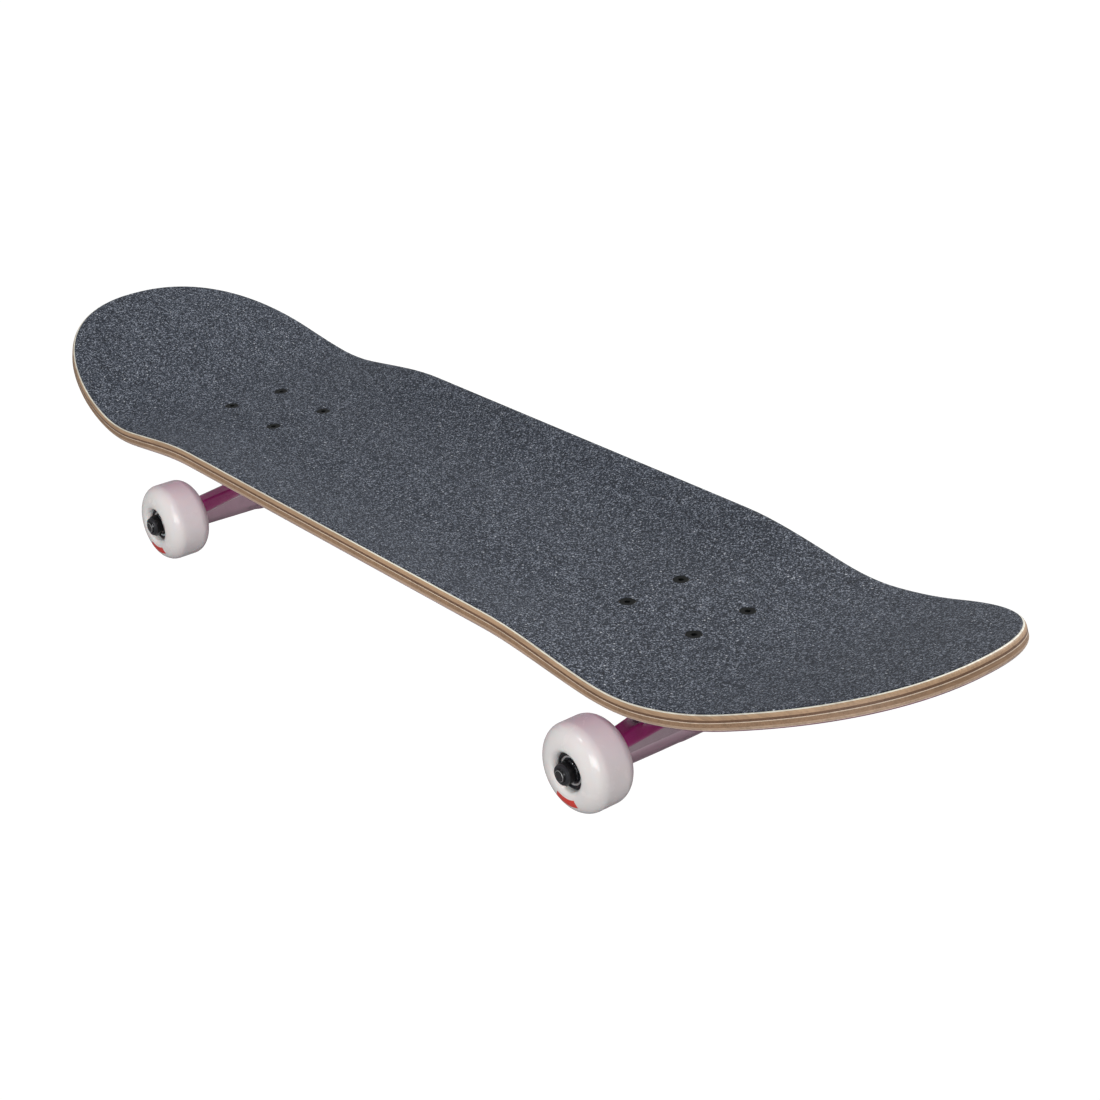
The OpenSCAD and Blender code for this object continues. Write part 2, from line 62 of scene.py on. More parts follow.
# ---------- Where things are ----------
AXLE_MID = {e: (span(f"{e}_axle")[0] + span(f"{e}_axle")[1]) / 2 for e in ENDS}
MID_X = (AXLE_MID["front"][0] + AXLE_MID["rear"][0]) / 2
AXLE_Z = AXLE_MID["front"][2]
AXLE_OFFSET = 10.2  # from the middle of a truck's bolt pattern out to its axle
TRUCK_X = (AXLE_MID["front"][0] - AXLE_MID["rear"][0]) / 2 - AXLE_OFFSET
DECK_BOTTOM_Z = span("front_baseplate")[1][2]
GRIP_TOP_Z = span("mounting_bolts")[1][2]
TRUCK_H = DECK_BOTTOM_Z - AXLE_Z
AXLE_HALF = span("front_axle")[1][1]
WHEEL_INSET = 20.5  # from the end of an axle in to the middle of its wheel
WHEEL_Y = AXLE_HALF - WHEEL_INSET
BOLT_DX, BOLT_DY = 53.98, 41.28

# ---------- Materials ----------
MATERIALS = {}


class Shader:
    """A node material: a Principled shader, and short calls that add nodes."""

    def __init__(self, name, **sockets):
        self.material = bpy.data.materials.new(name)
        self.material.use_nodes = True
        self.tree = self.material.node_tree
        self.tree.nodes.clear()
        out = self.tree.nodes.new("ShaderNodeOutputMaterial")
        self.bsdf = self.tree.nodes.new("ShaderNodeBsdfPrincipled")
        self.tree.links.new(self.bsdf.outputs[0], out.inputs[0])
        for socket, value in sockets.items():
            self.put(self.bsdf, socket.replace("_", " "), value)
        MATERIALS[name] = self.material
        self.place = self.add("TexCoord").outputs["Object"]

    def put(self, node, socket, value):
        target = node.inputs[socket]
        if isinstance(value, bpy.types.NodeSocket):
            self.tree.links.new(value, target)
        elif isinstance(value, (tuple, list)) and len(value) == 3 and len(target.default_value) == 4:
            target.default_value = (*value, 1)
        else:
            target.default_value = value

    def add(self, kind, sockets=None, **settings):
        node = self.tree.nodes.new("ShaderNode" + kind)
        for key, value in settings.items():
            setattr(node, key, value)
        for socket, value in (sockets or {}).items():
            self.put(node, socket, value)
        return node

    def stretched(self, x, y, z):
        return self.add("Mapping", {"Vector": self.place, "Scale": (x, y, z)}).outputs[0]

    def noise(self, scale, detail=2.0, rough=0.5, where=None, distortion=0.0):
        return self.add("TexNoise", {"Vector": where or self.place, "Scale": scale, "Detail": detail,
                                     "Roughness": rough, "Distortion": distortion}).outputs["Fac"]

    def cells(self, scale, out="Distance"):
        return self.add("TexVoronoi", {"Vector": self.place, "Scale": scale}).outputs[out]

    def ramp(self, value, *stops):
        node = self.add("ValToRGB", {"Fac": value})
        elements = node.color_ramp.elements
        while len(elements) < len(stops):
            elements.new(0.5)
        for element, (at, colour) in zip(elements, stops):
            element.position = at
            colour = colour if isinstance(colour, tuple) else (colour,) * 3
            element.color = (*colour, 1)
        return node.outputs[0]

    def range(self, value, low, high, to_low, to_high):
        return self.add("MapRange", {"Value": value, "From Min": low, "From Max": high,
                                     "To Min": to_low, "To Max": to_high}).outputs[0]

    def mix(self, factor, a, b, blend="MIX"):
        return self.add("Mix", {0: factor, 6: a, 7: b}, data_type="RGBA", blend_type=blend).outputs[2]

    def math(self, operation, a, b=0.0):
        return self.add("Math", {0: a, 1: b}, operation=operation).outputs[0]

    def total(self, *terms):
        """Sum of values, each times its weight."""
        parts = [v if weight == 1 else self.math("MULTIPLY", v, weight) for v, weight in terms]
        out = parts[0]
        for part in parts[1:]:
            out = self.math("ADD", out, part)
        return out

    def shade(self, base, tone):
        """Base colour darkened or lightened by a grey tone."""
        grey = self.add("CombineColor", {0: tone, 1: tone, 2: tone}).outputs[0]
        self.colour(self.mix(1.0, base, grey, "MULTIPLY"))

    def bump(self, height, strength, distance):
        bumps = self.add("Bump", {"Height": height, "Strength": strength, "Distance": distance * MM})
        self.put(self.bsdf, "Normal", bumps.outputs[0])

    def colour(self, value):
        self.put(self.bsdf, "Base Color", value)

    def rough(self, value):
        self.put(self.bsdf, "Roughness", value)


def grip_material():
    s = Shader("grip_grit", Specular_IOR_Level=0.3)
    grit = s.cells(1500, out="Color")
    fine = s.noise(2100, 2, 0.7)
    grain = s.total((grit, 0.8), (fine, 0.2))
    base = s.ramp(grain, (0.28, (0.006, 0.008, 0.013)), (0.50, (0.021, 0.026, 0.038)),
                  (0.64, (0.056, 0.066, 0.089)), (0.82, (0.27, 0.295, 0.345)))
    glint = s.range(s.cells(620, out="Color"), 0.86, 0.91, 0, 1)
    near = s.range(s.cells(620), 0.22, 0.42, 1, 0)
    base = s.mix(s.math("MULTIPLY", s.math("MULTIPLY", glint, near), 0.85), base, (0.56, 0.58, 0.62))
    s.shade(base, s.range(s.noise(8, 3, 0.5), 0.3, 0.7, 0.95, 1.05))
    s.rough(s.range(fine, 0.3, 0.7, 0.8, 0.6))
    s.bump(s.total((grain, 1), (s.cells(1300), 0.6)), 0.7, 0.25)


def wood_material(name, light, dark, along_x=True, line=0.35):
    """Maple veneer. Fibres run along x, or across the board in the crossbands."""
    s = Shader(name, Specular_IOR_Level=0.4)
    fibre = s.stretched(16, 900, 900) if along_x else s.stretched(900, 16, 900)
    broad = s.stretched(5, 120, 260) if along_x else s.stretched(150, 5, 260)
    streak = s.noise(1.0, 4, 0.6, where=fibre, distortion=0.3)
    figure = s.noise(1.0, 3, 0.55, where=broad, distortion=0.6)
    pores = s.noise(1.0, 2, 0.5, where=s.stretched(60, 2300, 2300) if along_x
                    else s.stretched(2300, 60, 2300))
    both = s.total((streak, 0.6), (figure, 0.4))
    base = s.ramp(both, (0.34, dark), (0.60, light))
    pore = s.range(pores, 0.60, 0.72, 0, line)
    s.colour(s.mix(pore, base, tuple(c * 0.45 for c in dark)))
    s.rough(s.range(streak, 0.3, 0.7, 0.62, 0.42))
    s.bump(s.total((both, 1), (pores, -0.5)), 0.35, 0.12)


def lacquer_material():
    """Magenta lacquer over the bottom veneer, with the maple's figure showing through."""
    s = Shader("lacquer_magenta", Specular_IOR_Level=0.5, Coat_Weight=0.8, Coat_Roughness=0.07)
    figure = s.noise(1.0, 4, 0.55, where=s.stretched(3.2, 55, 80), distortion=0.9)
    fibre = s.noise(1.0, 4, 0.65, where=s.stretched(14, 800, 800), distortion=0.2)
    both = s.total((figure, 0.6), (fibre, 0.4))
    base = s.ramp(both, (0.33, (0.40, 0.005, 0.19)), (0.50, (0.70, 0.012, 0.36)),
                  (0.66, (0.82, 0.030, 0.45)))
    pores = s.noise(1.0, 2, 0.5, where=s.stretched(50, 1900, 1900))
    s.colour(s.mix(s.range(pores, 0.62, 0.73, 0, 0.5), base, (0.10, 0.003, 0.05)))
    s.rough(s.range(fibre, 0.3, 0.7, 0.42, 0.26))
    s.bump(both, 0.12, 0.10)


def metal_material(name, base, rough, metallic=1.0, scratch=(7, 900, 900), wear=0.10, relief=0.02,
                   spread=0.07, waves=0.0, **more):
    """Metal with fine drawn scratches, faint stains, small changes of roughness, and waves where it
    was polished by hand."""
    s = Shader(name, Metallic=metallic, **more)
    lines = s.noise(1.0, 3, 0.6, where=s.stretched(*scratch))
    stain = s.noise(95, 4, 0.6)
    s.shade(base, s.range(stain, 0.35, 0.7, 1.0, 1.0 - wear))
    s.rough(s.range(s.total((lines, 0.5), (stain, 0.5)), 0.35, 0.65, rough - spread, rough + spread))
    heights = [(lines, 1), (s.noise(420, 3, 0.6), 1)]
    if waves:
        heights.append((s.noise(46, 1, 0.5, distortion=0.6), waves))
    s.bump(s.total(*heights), 0.25, relief)


def plastic_material(name, base, rough, grain=420, relief=0.03, vary=0.06, **more):
    """Moulded plastic or urethane: faint clouding, fine surface grain, patchy gloss."""
    s = Shader(name, **more)
    cloud = s.noise(38, 3, 0.5)
    dark = tuple(c * (1 - vary) for c in base)
    s.colour(s.ramp(cloud, (0.36, dark), (0.62, base)))
    s.rough(s.range(s.noise(130, 3, 0.6), 0.3, 0.7, rough - 0.05, rough + 0.06))
    s.bump(s.total((s.noise(grain, 3, 0.6), 1), (s.noise(60, 2, 0.5), 0.6)), 0.25, relief)


grip_material()
# The top rim veneer's pale cream colour is a painted highlight: the gloss along the wood's rounded top
# edge under the griptape.
VENEERS = {"veneer_tan": (0.44, 0.29, 0.175), "veneer_rose": (0.42, 0.27, 0.165),
           "veneer_brown": (0.16, 0.088, 0.052), "veneer_line": (0.72, 0.58, 0.45),
           "veneer_mid": (0.30, 0.185, 0.11), "veneer_cream": (0.47, 0.33, 0.235),
           "veneer_pale": (0.67, 0.53, 0.45), "veneer_top_rim_painted_highlight": (0.86, 0.80, 0.69)}
for name, tone in VENEERS.items():
    wood_material(name, tuple(min(0.9, c * 1.1) for c in tone), tuple(c * 0.72 for c in tone),
                  along_x=name not in ("veneer_brown", "veneer_mid"))
lacquer_material()
# The hangers' polished aluminium is tinted pink as a painted reflection of the deck's magenta
# underside.
metal_material("polished_aluminium_painted_pink_reflection", (0.68, 0.51, 0.58), 0.12, scratch=(260, 9, 260), waves=40)
metal_material("cast_aluminium", (0.70, 0.67, 0.69), 0.24, scratch=(9, 260, 260), relief=0.05)
metal_material("zinc_steel", (0.56, 0.565, 0.58), 0.30, scratch=(300, 300, 300), wear=0.18)
metal_material("bearing_steel", (0.72, 0.73, 0.75), 0.14, scratch=(500, 500, 500))
metal_material("black_steel", (0.007, 0.007, 0.008), 0.17, metallic=0.0, scratch=(400, 400, 400),
               relief=0.04, spread=0.05, Specular_IOR_Level=0.34)
metal_material("bolt_black", (0.006, 0.007, 0.007), 0.45, metallic=0.0, scratch=(400, 400, 400),
               relief=0.08, Specular_IOR_Level=0.13)
metal_material("axle_dark", (0.13, 0.13, 0.135), 0.24, scratch=(300, 300, 300), wear=0.2)
metal_material("clip_steel", (0.80, 0.81, 0.82), 0.38, scratch=(500, 500, 500))
metal_material("dark_race", (0.06, 0.06, 0.07), 0.16, scratch=(500, 500, 500))
plastic_material("wheel_urethane", (0.83, 0.80, 0.785), 0.24, relief=0.02, vary=0.03,
                 Subsurface_Weight=0.35, Subsurface_Radius=(0.004, 0.0026, 0.0022),
                 Subsurface_Scale=0.6, Specular_IOR_Level=0.2, Coat_Weight=0.65, Coat_Roughness=0.05)
# Magenta lacquer where it wraps the lower edge of the deck, darkened far below the underside's lacquer
# as painted shade under the board.
plastic_material("lacquer_edge_painted_shade", (0.20, 0.010, 0.085), 0.30, vary=0.3)
plastic_material("wheel_print_red", (0.72, 0.045, 0.03), 0.34, vary=0.12)
plastic_material("bushing_urethane", (0.78, 0.74, 0.66), 0.42, relief=0.05,
                 Subsurface_Weight=0.25, Subsurface_Radius=(0.003, 0.002, 0.0015),
                 Subsurface_Scale=0.6)
plastic_material("seal_black", (0.010, 0.010, 0.014), 0.22, relief=0.04, vary=0.3,
                 Specular_IOR_Level=0.3)
plastic_material("cup_black", (0.018, 0.018, 0.019), 0.52, relief=0.05, vary=0.3)
plastic_material("nylon_dark", (0.020, 0.021, 0.025), 0.38, relief=0.04, vary=0.2)


# ---------- Making pieces ----------
def make_mesh(name, points, faces, materials, slots=None, sharp=32, normals=None):
    mesh = bpy.data.meshes.new(name)
    mesh.from_pydata((np.asarray(points, float) * MM).tolist(), [], faces)
    for material in materials:
        mesh.materials.append(MATERIALS[material])
    if slots is not None:
        mesh.polygons.foreach_set("material_index", np.asarray(slots, np.int32))
    mesh.polygons.foreach_set("use_smooth", np.ones(len(mesh.polygons), bool))
    mesh.update()
    if normals is not None:
        mesh.normals_split_custom_set_from_vertices(normals.tolist())
    else:
        mesh.set_sharp_from_angle(angle=math.radians(sharp))
    return mesh


def show(name, data):
    """A new object in the scene."""
    thing = bpy.data.objects.new(name, data)
    bpy.context.scene.collection.objects.link(thing)
    return thing


def put(mesh, body, node):
    """Shows a mesh as a piece that rides on a body and stands for a CAD node."""
    piece = show(mesh.name, mesh)
    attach(piece, body)
    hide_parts(node)


class Parts:
    """Several closed shapes gathered into one mesh."""

    def __init__(self):
        self.points, self.faces, self.slots, self.count = [], [], [], 0

    def add(self, points, faces, slot=0):
        self.points.append(np.asarray(points, float))
        self.faces += [[i + self.count for i in f] for f in faces]
        self.slots += slot if isinstance(slot, list) else [slot] * len(faces)
        self.count += len(points)

    def mesh(self, name, materials, sharp=32):
        return make_mesh(name, np.concatenate(self.points), self.faces, materials, self.slots, sharp)


ROUND_SEGMENTS, NUT_SEGMENTS = 96, 72
NYLON_RINGS = (9, 13)  # the rings of a lock nut that are its nylon insert


def turned(rings, segments=ROUND_SEGMENTS, closed=True):
    """Rings about local z, each (radius, height), joined in order. A radius may be a function of the
    angle. closed joins the last ring to the first; otherwise the ends shrink to points."""
    angles = 2 * np.pi * np.arange(segments) / segments
    points, index = [], []
    for radius, height in rings:
        r = radius(angles) if callable(radius) else np.full(segments, float(radius))
        h = height(angles) if callable(height) else np.full(segments, float(height))
        if not callable(radius) and radius == 0:
            index.append([len(points)] * segments)
            points.append((0.0, 0.0, float(h[0])))
            continue
        index.append(list(range(len(points), len(points) + segments)))
        points += list(zip(r * np.cos(angles), r * np.sin(angles), h))
    faces = []
    order = list(zip(index, index[1:])) + ([(index[-1], index[0])] if closed else [])
    for low, high in order:
        for i in range(segments):
            j = (i + 1) % segments
            face = [low[i], low[j], high[j], high[i]]
            face = [v for k, v in enumerate(face) if v != face[k - 1]]
            faces.append(face)
    return np.array(points), faces


def along(points, origin, direction, spin=0.0):
    """Local z to a direction in the row frame, local y kept near the row's y."""
    z = np.asarray(direction, float)
    z = z / np.linalg.norm(z)
    side = np.array([0, 1.0, 0]) if abs(z[1]) < 0.9 else np.array([0, 0, 1.0])
    x = np.cross(side, z)
    x /= np.linalg.norm(x)
    y = np.cross(z, x)
    c, s = math.cos(spin), math.sin(spin)
    turn = np.array([[c, -s, 0], [s, c, 0], [0, 0, 1]])
    return points @ turn.T @ np.array([x, y, z]) + np.asarray(origin, float)


def hexagon(corner_r):
    """Radius of a hexagon at an angle, from the radius of its corners."""
    flat = corner_r * math.cos(math.pi / 6)
    return lambda a: flat / np.cos((a + math.pi / 6) % (math.pi / 3) - math.pi / 6)


def smaller(f, limit):
    return lambda a: np.minimum(f(a), limit)


def banded(faces, segments, first, last):
    """Look 1 for the faces between two rings of a turned shape, and look 0 for the rest."""
    return [int(first <= f // segments <= last) for f in range(len(faces))]


def thread(radius, depth, pitch, start, length, steps=6):
    """Rings of a screw thread that goes along local z."""
    rings = []
    for k in range(int(length / pitch * steps) + 1):
        h = start + min(k * pitch / steps, length)

        def wave(a, h=h):
            t = (h / pitch - a / (2 * np.pi)) % 1.0
            return radius - depth * np.abs(2 * t - 1)
        rings.append((wave, h))
    return rings


def at_truck(end, points):
    """From a truck's own frame to the row frame."""
    g = ENDS[end]
    return points * np.array([g, g, 1.0]) + np.array([MID_X + g * TRUCK_X, 0, DECK_BOTTOM_Z])


# ---------- Deck ----------
NOSE = dict(length=413.4, start=80, power=5.2, root=2.24, radius=260, angle=math.radians(20.7))
TAIL = dict(length=398.6, start=200, power=3.3, root=2.2, radius=233, angle=math.radians(18.5))
BEND_X, FADE_FROM, FADE_TO = 236, 155, 275
GRIP_HALF_W, FLAT_HALF_W, CONCAVE, RAIL_ANGLE = 101.4, 30, 11.7, math.radians(13.5)
GRIP_T, PLY_T, PLIES, LIP = 0.6, 1.3, 7, 1.42
WOOD_T = PLIES * PLY_T
ROUND_DEPTH, ROUND_UNDER = 2 * PLY_T, 2.0
TIP_SWEEP = math.sin(math.radians(87))
RAIL_RUN = GRIP_HALF_W - FLAT_HALF_W
RAIL_R = ((RAIL_RUN * math.tan(RAIL_ANGLE) - CONCAVE)
          / (math.sin(RAIL_ANGLE) * math.tan(RAIL_ANGLE) - (1 - math.cos(RAIL_ANGLE))))


def reach(end, grow):
    """How far the deck goes from the middle of the wheelbase, at a growth of the outline."""
    return BEND_X + (end["length"] + grow - BEND_X) * TIP_SWEEP


def half_width(x, grow):
    out = np.empty_like(x)
    for end, part in ((NOSE, x >= 0), (TAIL, x < 0)):
        u = (np.abs(x[part]) - end["start"]) / (reach(end, grow) - end["start"])
        shape = np.clip(1 - np.clip(u, 0, 1) ** end["power"], 0, 1) ** (1 / end["root"])
        out[part] = (GRIP_HALF_W + grow) * shape
    return out


def bend(t, radius, angle):
    """Height and slope of a line that turns up on an arc from t = 0, and then goes on straight."""
    run = radius * math.sin(angle)
    bent = np.clip(t, 0, run)
    height = radius - np.sqrt(radius ** 2 - bent ** 2) + np.clip(t - run, 0, None) * math.tan(angle)
    return height, np.tan(np.arcsin(bent / radius))


def rise(x):
    nose, tail = (bend(np.abs(x) - BEND_X, end["radius"], end["angle"]) for end in (NOSE, TAIL))
    return np.where(x >= 0, nose[0], tail[0]), np.where(x >= 0, nose[1], -tail[1])


def rail(y):
    height, slope = bend(np.abs(y) - FLAT_HALF_W, RAIL_R, RAIL_ANGLE)
    return height, slope * np.sign(y)


def deck_points(x, y, depth):
    """Points at a depth below the griptape's face, measured square to the face."""
    t = np.clip((np.abs(x) - FADE_FROM) / (FADE_TO - FADE_FROM), 0, 1)
    fade = 1 - t * t * (3 - 2 * t)
    fade_slope = -np.sign(x) * 6 * t * (1 - t) / (FADE_TO - FADE_FROM)
    (up, up_slope), (side, side_slope) = rise(x), rail(y)
    normal = np.stack([-up_slope - fade_slope * side, -fade * side_slope, np.ones_like(x)], -1)
    normal /= np.linalg.norm(normal, axis=-1, keepdims=True)
    points = np.stack([x, y, up + fade * side], -1) - depth * normal
    return points + np.array([MID_X, 0, GRIP_TOP_Z])


def edge_grow(t):
    """How far the wood's edge stands out at a depth below its top."""
    if t < ROUND_DEPTH:
        return LIP * math.sqrt(max(0.0, 1 - (1 - t / ROUND_DEPTH) ** 2))
    if t > WOOD_T - ROUND_DEPTH + 0.001:
        back = 1 - math.sqrt(max(0.0, 1 - (1 - (WOOD_T - t) / ROUND_DEPTH) ** 2))
        return LIP - ROUND_UNDER * back
    return LIP


MID_ROWS, TIP_ROWS, COLUMNS, TIP_TURN, COLUMN_POWER = 26, 46, 30, 88.6, 1.15


def outline_rows(grow):
    """Places of a sheet's rows along the deck: even in its middle, and closer towards the tips."""
    middle = np.linspace(0, BEND_X, MID_ROWS + 1)
    tip = np.sin(np.radians(np.linspace(0, TIP_TURN, TIP_ROWS + 1)[1:]))
    tail, nose = (np.concatenate([middle, BEND_X + (reach(end, grow) - BEND_X) * tip])
                  for end in (TAIL, NOSE))
    return np.concatenate([-tail[::-1], nose[1:]])


def sheet(name, rings, materials, slot_of_ring, top_slot, bottom_slot):
    """A closed sheet: a grid on top and below, with rings of points round its edge between them.
    rings go from top to bottom as (depth below the griptape's face, outline growth)."""
    rows = len(outline_rows(0))
    across = np.linspace(-1, 1, COLUMNS + 1)
    across = np.sign(across) * (1 - (1 - np.abs(across)) ** COLUMN_POWER)
    cols = len(across)

    def layer(depth, grow):
        x = outline_rows(grow)
        w = half_width(x, grow)
        return deck_points(np.repeat(x, cols), (w[:, None] * across[None, :]).ravel(), depth)
    grid = np.arange(rows * cols).reshape(rows, cols)
    loop = np.concatenate([grid[:-1, 0], grid[-1, :-1], grid[:0:-1, -1], grid[0, :0:-1]])
    layers = [layer(*r) for r in rings]
    points = [layers[0]] + [q[loop] for q in layers[1:-1]] + [layers[-1]]
    starts = np.cumsum([0] + [len(p) for p in points])
    loops = ([loop] + [starts[k] + np.arange(len(loop)) for k in range(1, len(rings) - 1)]
             + [starts[-2] + loop])
    a, b = grid[:-1, :-1].ravel(), grid[:-1, 1:].ravel()
    c, d = grid[1:, 1:].ravel(), grid[1:, :-1].ravel()
    low = starts[-2]
    faces = np.concatenate([np.stack([a, d, c, b], 1), np.stack([a, b, c, d], 1) + low]).tolist()
    slots = [top_slot] * len(a) + [bottom_slot] * len(a)
    for k, (up, down) in enumerate(zip(loops, loops[1:])):
        faces += np.stack([up, down, np.roll(down, -1), np.roll(up, -1)], 1).tolist()
        slots += [slot_of_ring(k)] * len(up)
    mesh = make_mesh(name, np.concatenate(points), faces, materials, slots, sharp=40)
    bm = bmesh.new()
    bm.from_mesh(mesh)
    bmesh.ops.recalc_face_normals(bm, faces=bm.faces)
    bm.to_mesh(mesh)
    bm.free()
    return mesh


def bolt_places():
    for g in ENDS.values():
        for sx in (-0.5, 0.5):
            for sy in (-0.5, 0.5):
                yield MID_X + g * TRUCK_X + sx * BOLT_DX, sy * BOLT_DY


def drill(mesh, profile):
    """Cuts a turned hole at every bolt, and returns the cut mesh."""
    cutter = Parts()
    for x, y in bolt_places():
        points, faces = turned(profile, 40, closed=False)
        cutter.add(points + np.array([x, y, GRIP_TOP_Z]), faces)
    tool = show("cutter", cutter.mesh("cutter", [mesh.materials[0].name]))
    work = show("work", mesh)
    modifier = work.modifiers.new("holes", "BOOLEAN")
    modifier.object, modifier.operation, modifier.solver = tool, "DIFFERENCE", "EXACT"
    bpy.context.view_layer.update()
    cut = bpy.data.meshes.new_from_object(work.evaluated_get(bpy.context.evaluated_depsgraph_get()))
    name = mesh.name
    for o in (tool, work):
        bpy.data.objects.remove(o)
    bpy.data.meshes.remove(mesh)
    cut.name = name
    cut.set_sharp_from_angle(angle=math.radians(40))
    return cut


HEAD_R, HEAD_H, BOLT_R, BOLT_HOLE_R = 4.65, 2.5, 2.4, 2.7
HOLE = [(0, -14), (BOLT_HOLE_R, -14), (BOLT_HOLE_R, -HEAD_H), (HEAD_R + 0.2, 0),
        (HEAD_R + 0.2, 2), (0, 2)]
GRIP_HOLE = [(0, -2), (HEAD_R + 0.22, -2), (HEAD_R + 0.22, 2), (0, 2)]

grip = sheet("grip_sheet", [(0.0, -0.35), (0.12, -0.08), (0.3, 0.0), (GRIP_T, 0.0)],
             ["grip_grit"], lambda k: 0, 0, 0)
put(drill(grip, GRIP_HOLE), "deck", "griptape")

# Each veneer's look, the second look of its edge, and its CAD slot
PLY_LOOKS = {1: ("veneer_tan", "veneer_top_rim_painted_highlight", "maple_light"),
             2: ("veneer_rose", "veneer_rose", "maple_light"),
             3: ("veneer_brown", "veneer_brown", "maple_dark"),
             4: ("veneer_mid", "veneer_line", "maple_light"),
             5: ("veneer_mid", "veneer_mid", "maple_dark"),
             6: ("veneer_cream", "veneer_cream", "maple_light"),
             7: ("veneer_pale", "lacquer_edge_painted_shade", "lacquered_maple")}
EDGE_STEPS = {1: 5, 2: 5, 3: 1, 4: 3, 5: 1, 6: 5, 7: 5}  # rings of faces round each veneer's edge
# Ply 1's top two edge rings carry that painted highlight colour.
# Ply 7's lower edge rings carry that lacquer with its painted shade.
END_RINGS = {1: (0, 1), 4: (0,), 7: (2, 3, 4)}  # the ones among them that have the second look
for k in range(1, PLIES + 1):
    top = (k - 1) * PLY_T
    steps = EDGE_STEPS[k]
    depths = [top + PLY_T * (0.5 - 0.5 * math.cos(math.pi * i / steps)) if k in (1, PLIES) else
              top + PLY_T * i / steps for i in range(steps + 1)]
    rings = [(GRIP_T + t, edge_grow(t)) for t in depths]
    look, end_look, slot = PLY_LOOKS[k]
    looks, under = ([look, end_look, "lacquer_magenta"], 2) if k == PLIES else ([look, end_look], 0)
    veneer = sheet(f"veneer_{k}", rings, looks,
                   lambda i, ends=END_RINGS.get(k, ()): int(i in ends), 0, under)
    put(drill(veneer, HOLE), "deck", f"ply_{k}")

# ---------- Bolts and nuts of the deck ----------
BOLT_LEN, PLATE_T, NUT_H = 25.4, 6.5, 6.0
THREAD_LEN, THREAD_PITCH, THREAD_DEPTH = 5.2, 0.794, 0.28
SOCKET_CORNER, SOCKET_DEPTH, NUT_FLATS = 1.85, 1.5, 9.5
BOLT_TURN = 0.7  # how far each bolt is turned past the one before it
SOCKET = hexagon(SOCKET_CORNER)
NUT_HEX = hexagon(NUT_FLATS / math.cos(math.pi / 6) / 2)
bolts, nuts = Parts(), Parts()
for n, (x, y) in enumerate(bolt_places()):
    spin = BOLT_TURN * n
    tip = -BOLT_LEN
    rings = ([(0, tip), (BOLT_R - 0.7, tip)]
             + thread(BOLT_R, THREAD_DEPTH, THREAD_PITCH, tip + 0.5, THREAD_LEN)
             + [(BOLT_R, tip + 6), (BOLT_R, -HEAD_H), (HEAD_R, -0.35), (HEAD_R, -0.18),
                (HEAD_R - 0.18, -0.04), (2.6, -0.04), (lambda a: SOCKET(a) + 0.14, -0.10),
                (SOCKET, -0.3), (SOCKET, -SOCKET_DEPTH),
                (lambda a: SOCKET(a) * 0.5, -SOCKET_DEPTH - 0.25), (0, -SOCKET_DEPTH - 0.25)])
    points, faces = turned(rings, 48, closed=False)
    bolts.add(along(points, (x, y, GRIP_TOP_Z), (0, 0, 1), spin), faces)
    rings = [(BOLT_R + 0.05, 0), (4.1, 0), (4.6, 0.1), (smaller(NUT_HEX, 4.95), 0.1),
             (smaller(NUT_HEX, 5.35), 0.45), (NUT_HEX, 0.9), (NUT_HEX, 3.9),
             (smaller(NUT_HEX, 5.2), 4.35), (smaller(NUT_HEX, 4.75), 4.45), (4.35, 4.5),
             (4.3, 5.2), (3.9, 5.85), (3.3, NUT_H),
             (BOLT_R + 0.25, NUT_H), (BOLT_R + 0.05, 5.8)]
    points, faces = turned(rings, NUT_SEGMENTS)
    looks = banded(faces, NUT_SEGMENTS, *NYLON_RINGS)
    nuts.add(along(points, (x, y, DECK_BOTTOM_Z - PLATE_T), (0, 0, -1), spin), faces, looks)
put(bolts.mesh("deck_bolts", ["bolt_black"]), "deck", "mounting_bolts")
put(nuts.mesh("deck_nuts", ["black_steel", "nylon_dark"]), "deck", "mounting_nuts")


# ---------- Smooth castings ----------
def join(a, b, k):
    """Union of two distance fields, with a fillet of about k."""
    h = np.clip(k - np.abs(a - b), 0, None) / k
    return np.minimum(a, b) - h * h * k / 4


def meet(a, b, k):
    return -join(-a, -b, k)


def cut(a, b, k):
    return meet(a, -b, k)


def axis_frame(x, y, z, origin, direction):
    """Distance along an axis in the plane y = 0, from it, and across it in that plane."""
    dx, dz = x - origin[0], z - origin[1]
    t = dx * direction[0] + dz * direction[1]
    across = dx * direction[1] - dz * direction[0]
    return t, np.sqrt(across ** 2 + y ** 2), across


def rod(t, r, radius, low, high, k=1.0):
    return meet(meet(r - radius, low - t, k), t - high, k)


def rounded_hull(px, pz, corners, radii):
    """Distance to the hull of circles in the plane: the nearest of its tapered sides, and the flat
    between them where there are three or more circles."""
    sides, planes = None, None
    for i, ((ax, az), ra) in enumerate(zip(corners, radii)):
        (bx, bz), rb = corners[(i + 1) % len(corners)], radii[(i + 1) % len(corners)]
        dx, dz = bx - ax, bz - az
        length = math.hypot(dx, dz)
        t = np.clip(((px - ax) * dx + (pz - az) * dz) / length ** 2, 0, 1)
        side = np.sqrt((px - ax - t * dx) ** 2 + (pz - az - t * dz) ** 2) - (ra + t * (rb - ra))
        plane = ((px - ax) * dz - (pz - az) * dx) / length - max(ra, rb)
        sides = side if sides is None else np.minimum(sides, side)
        planes = plane if planes is None else np.maximum(planes, plane)
    if len(corners) < 3:
        return sides
    return np.minimum(sides, planes + min(radii))


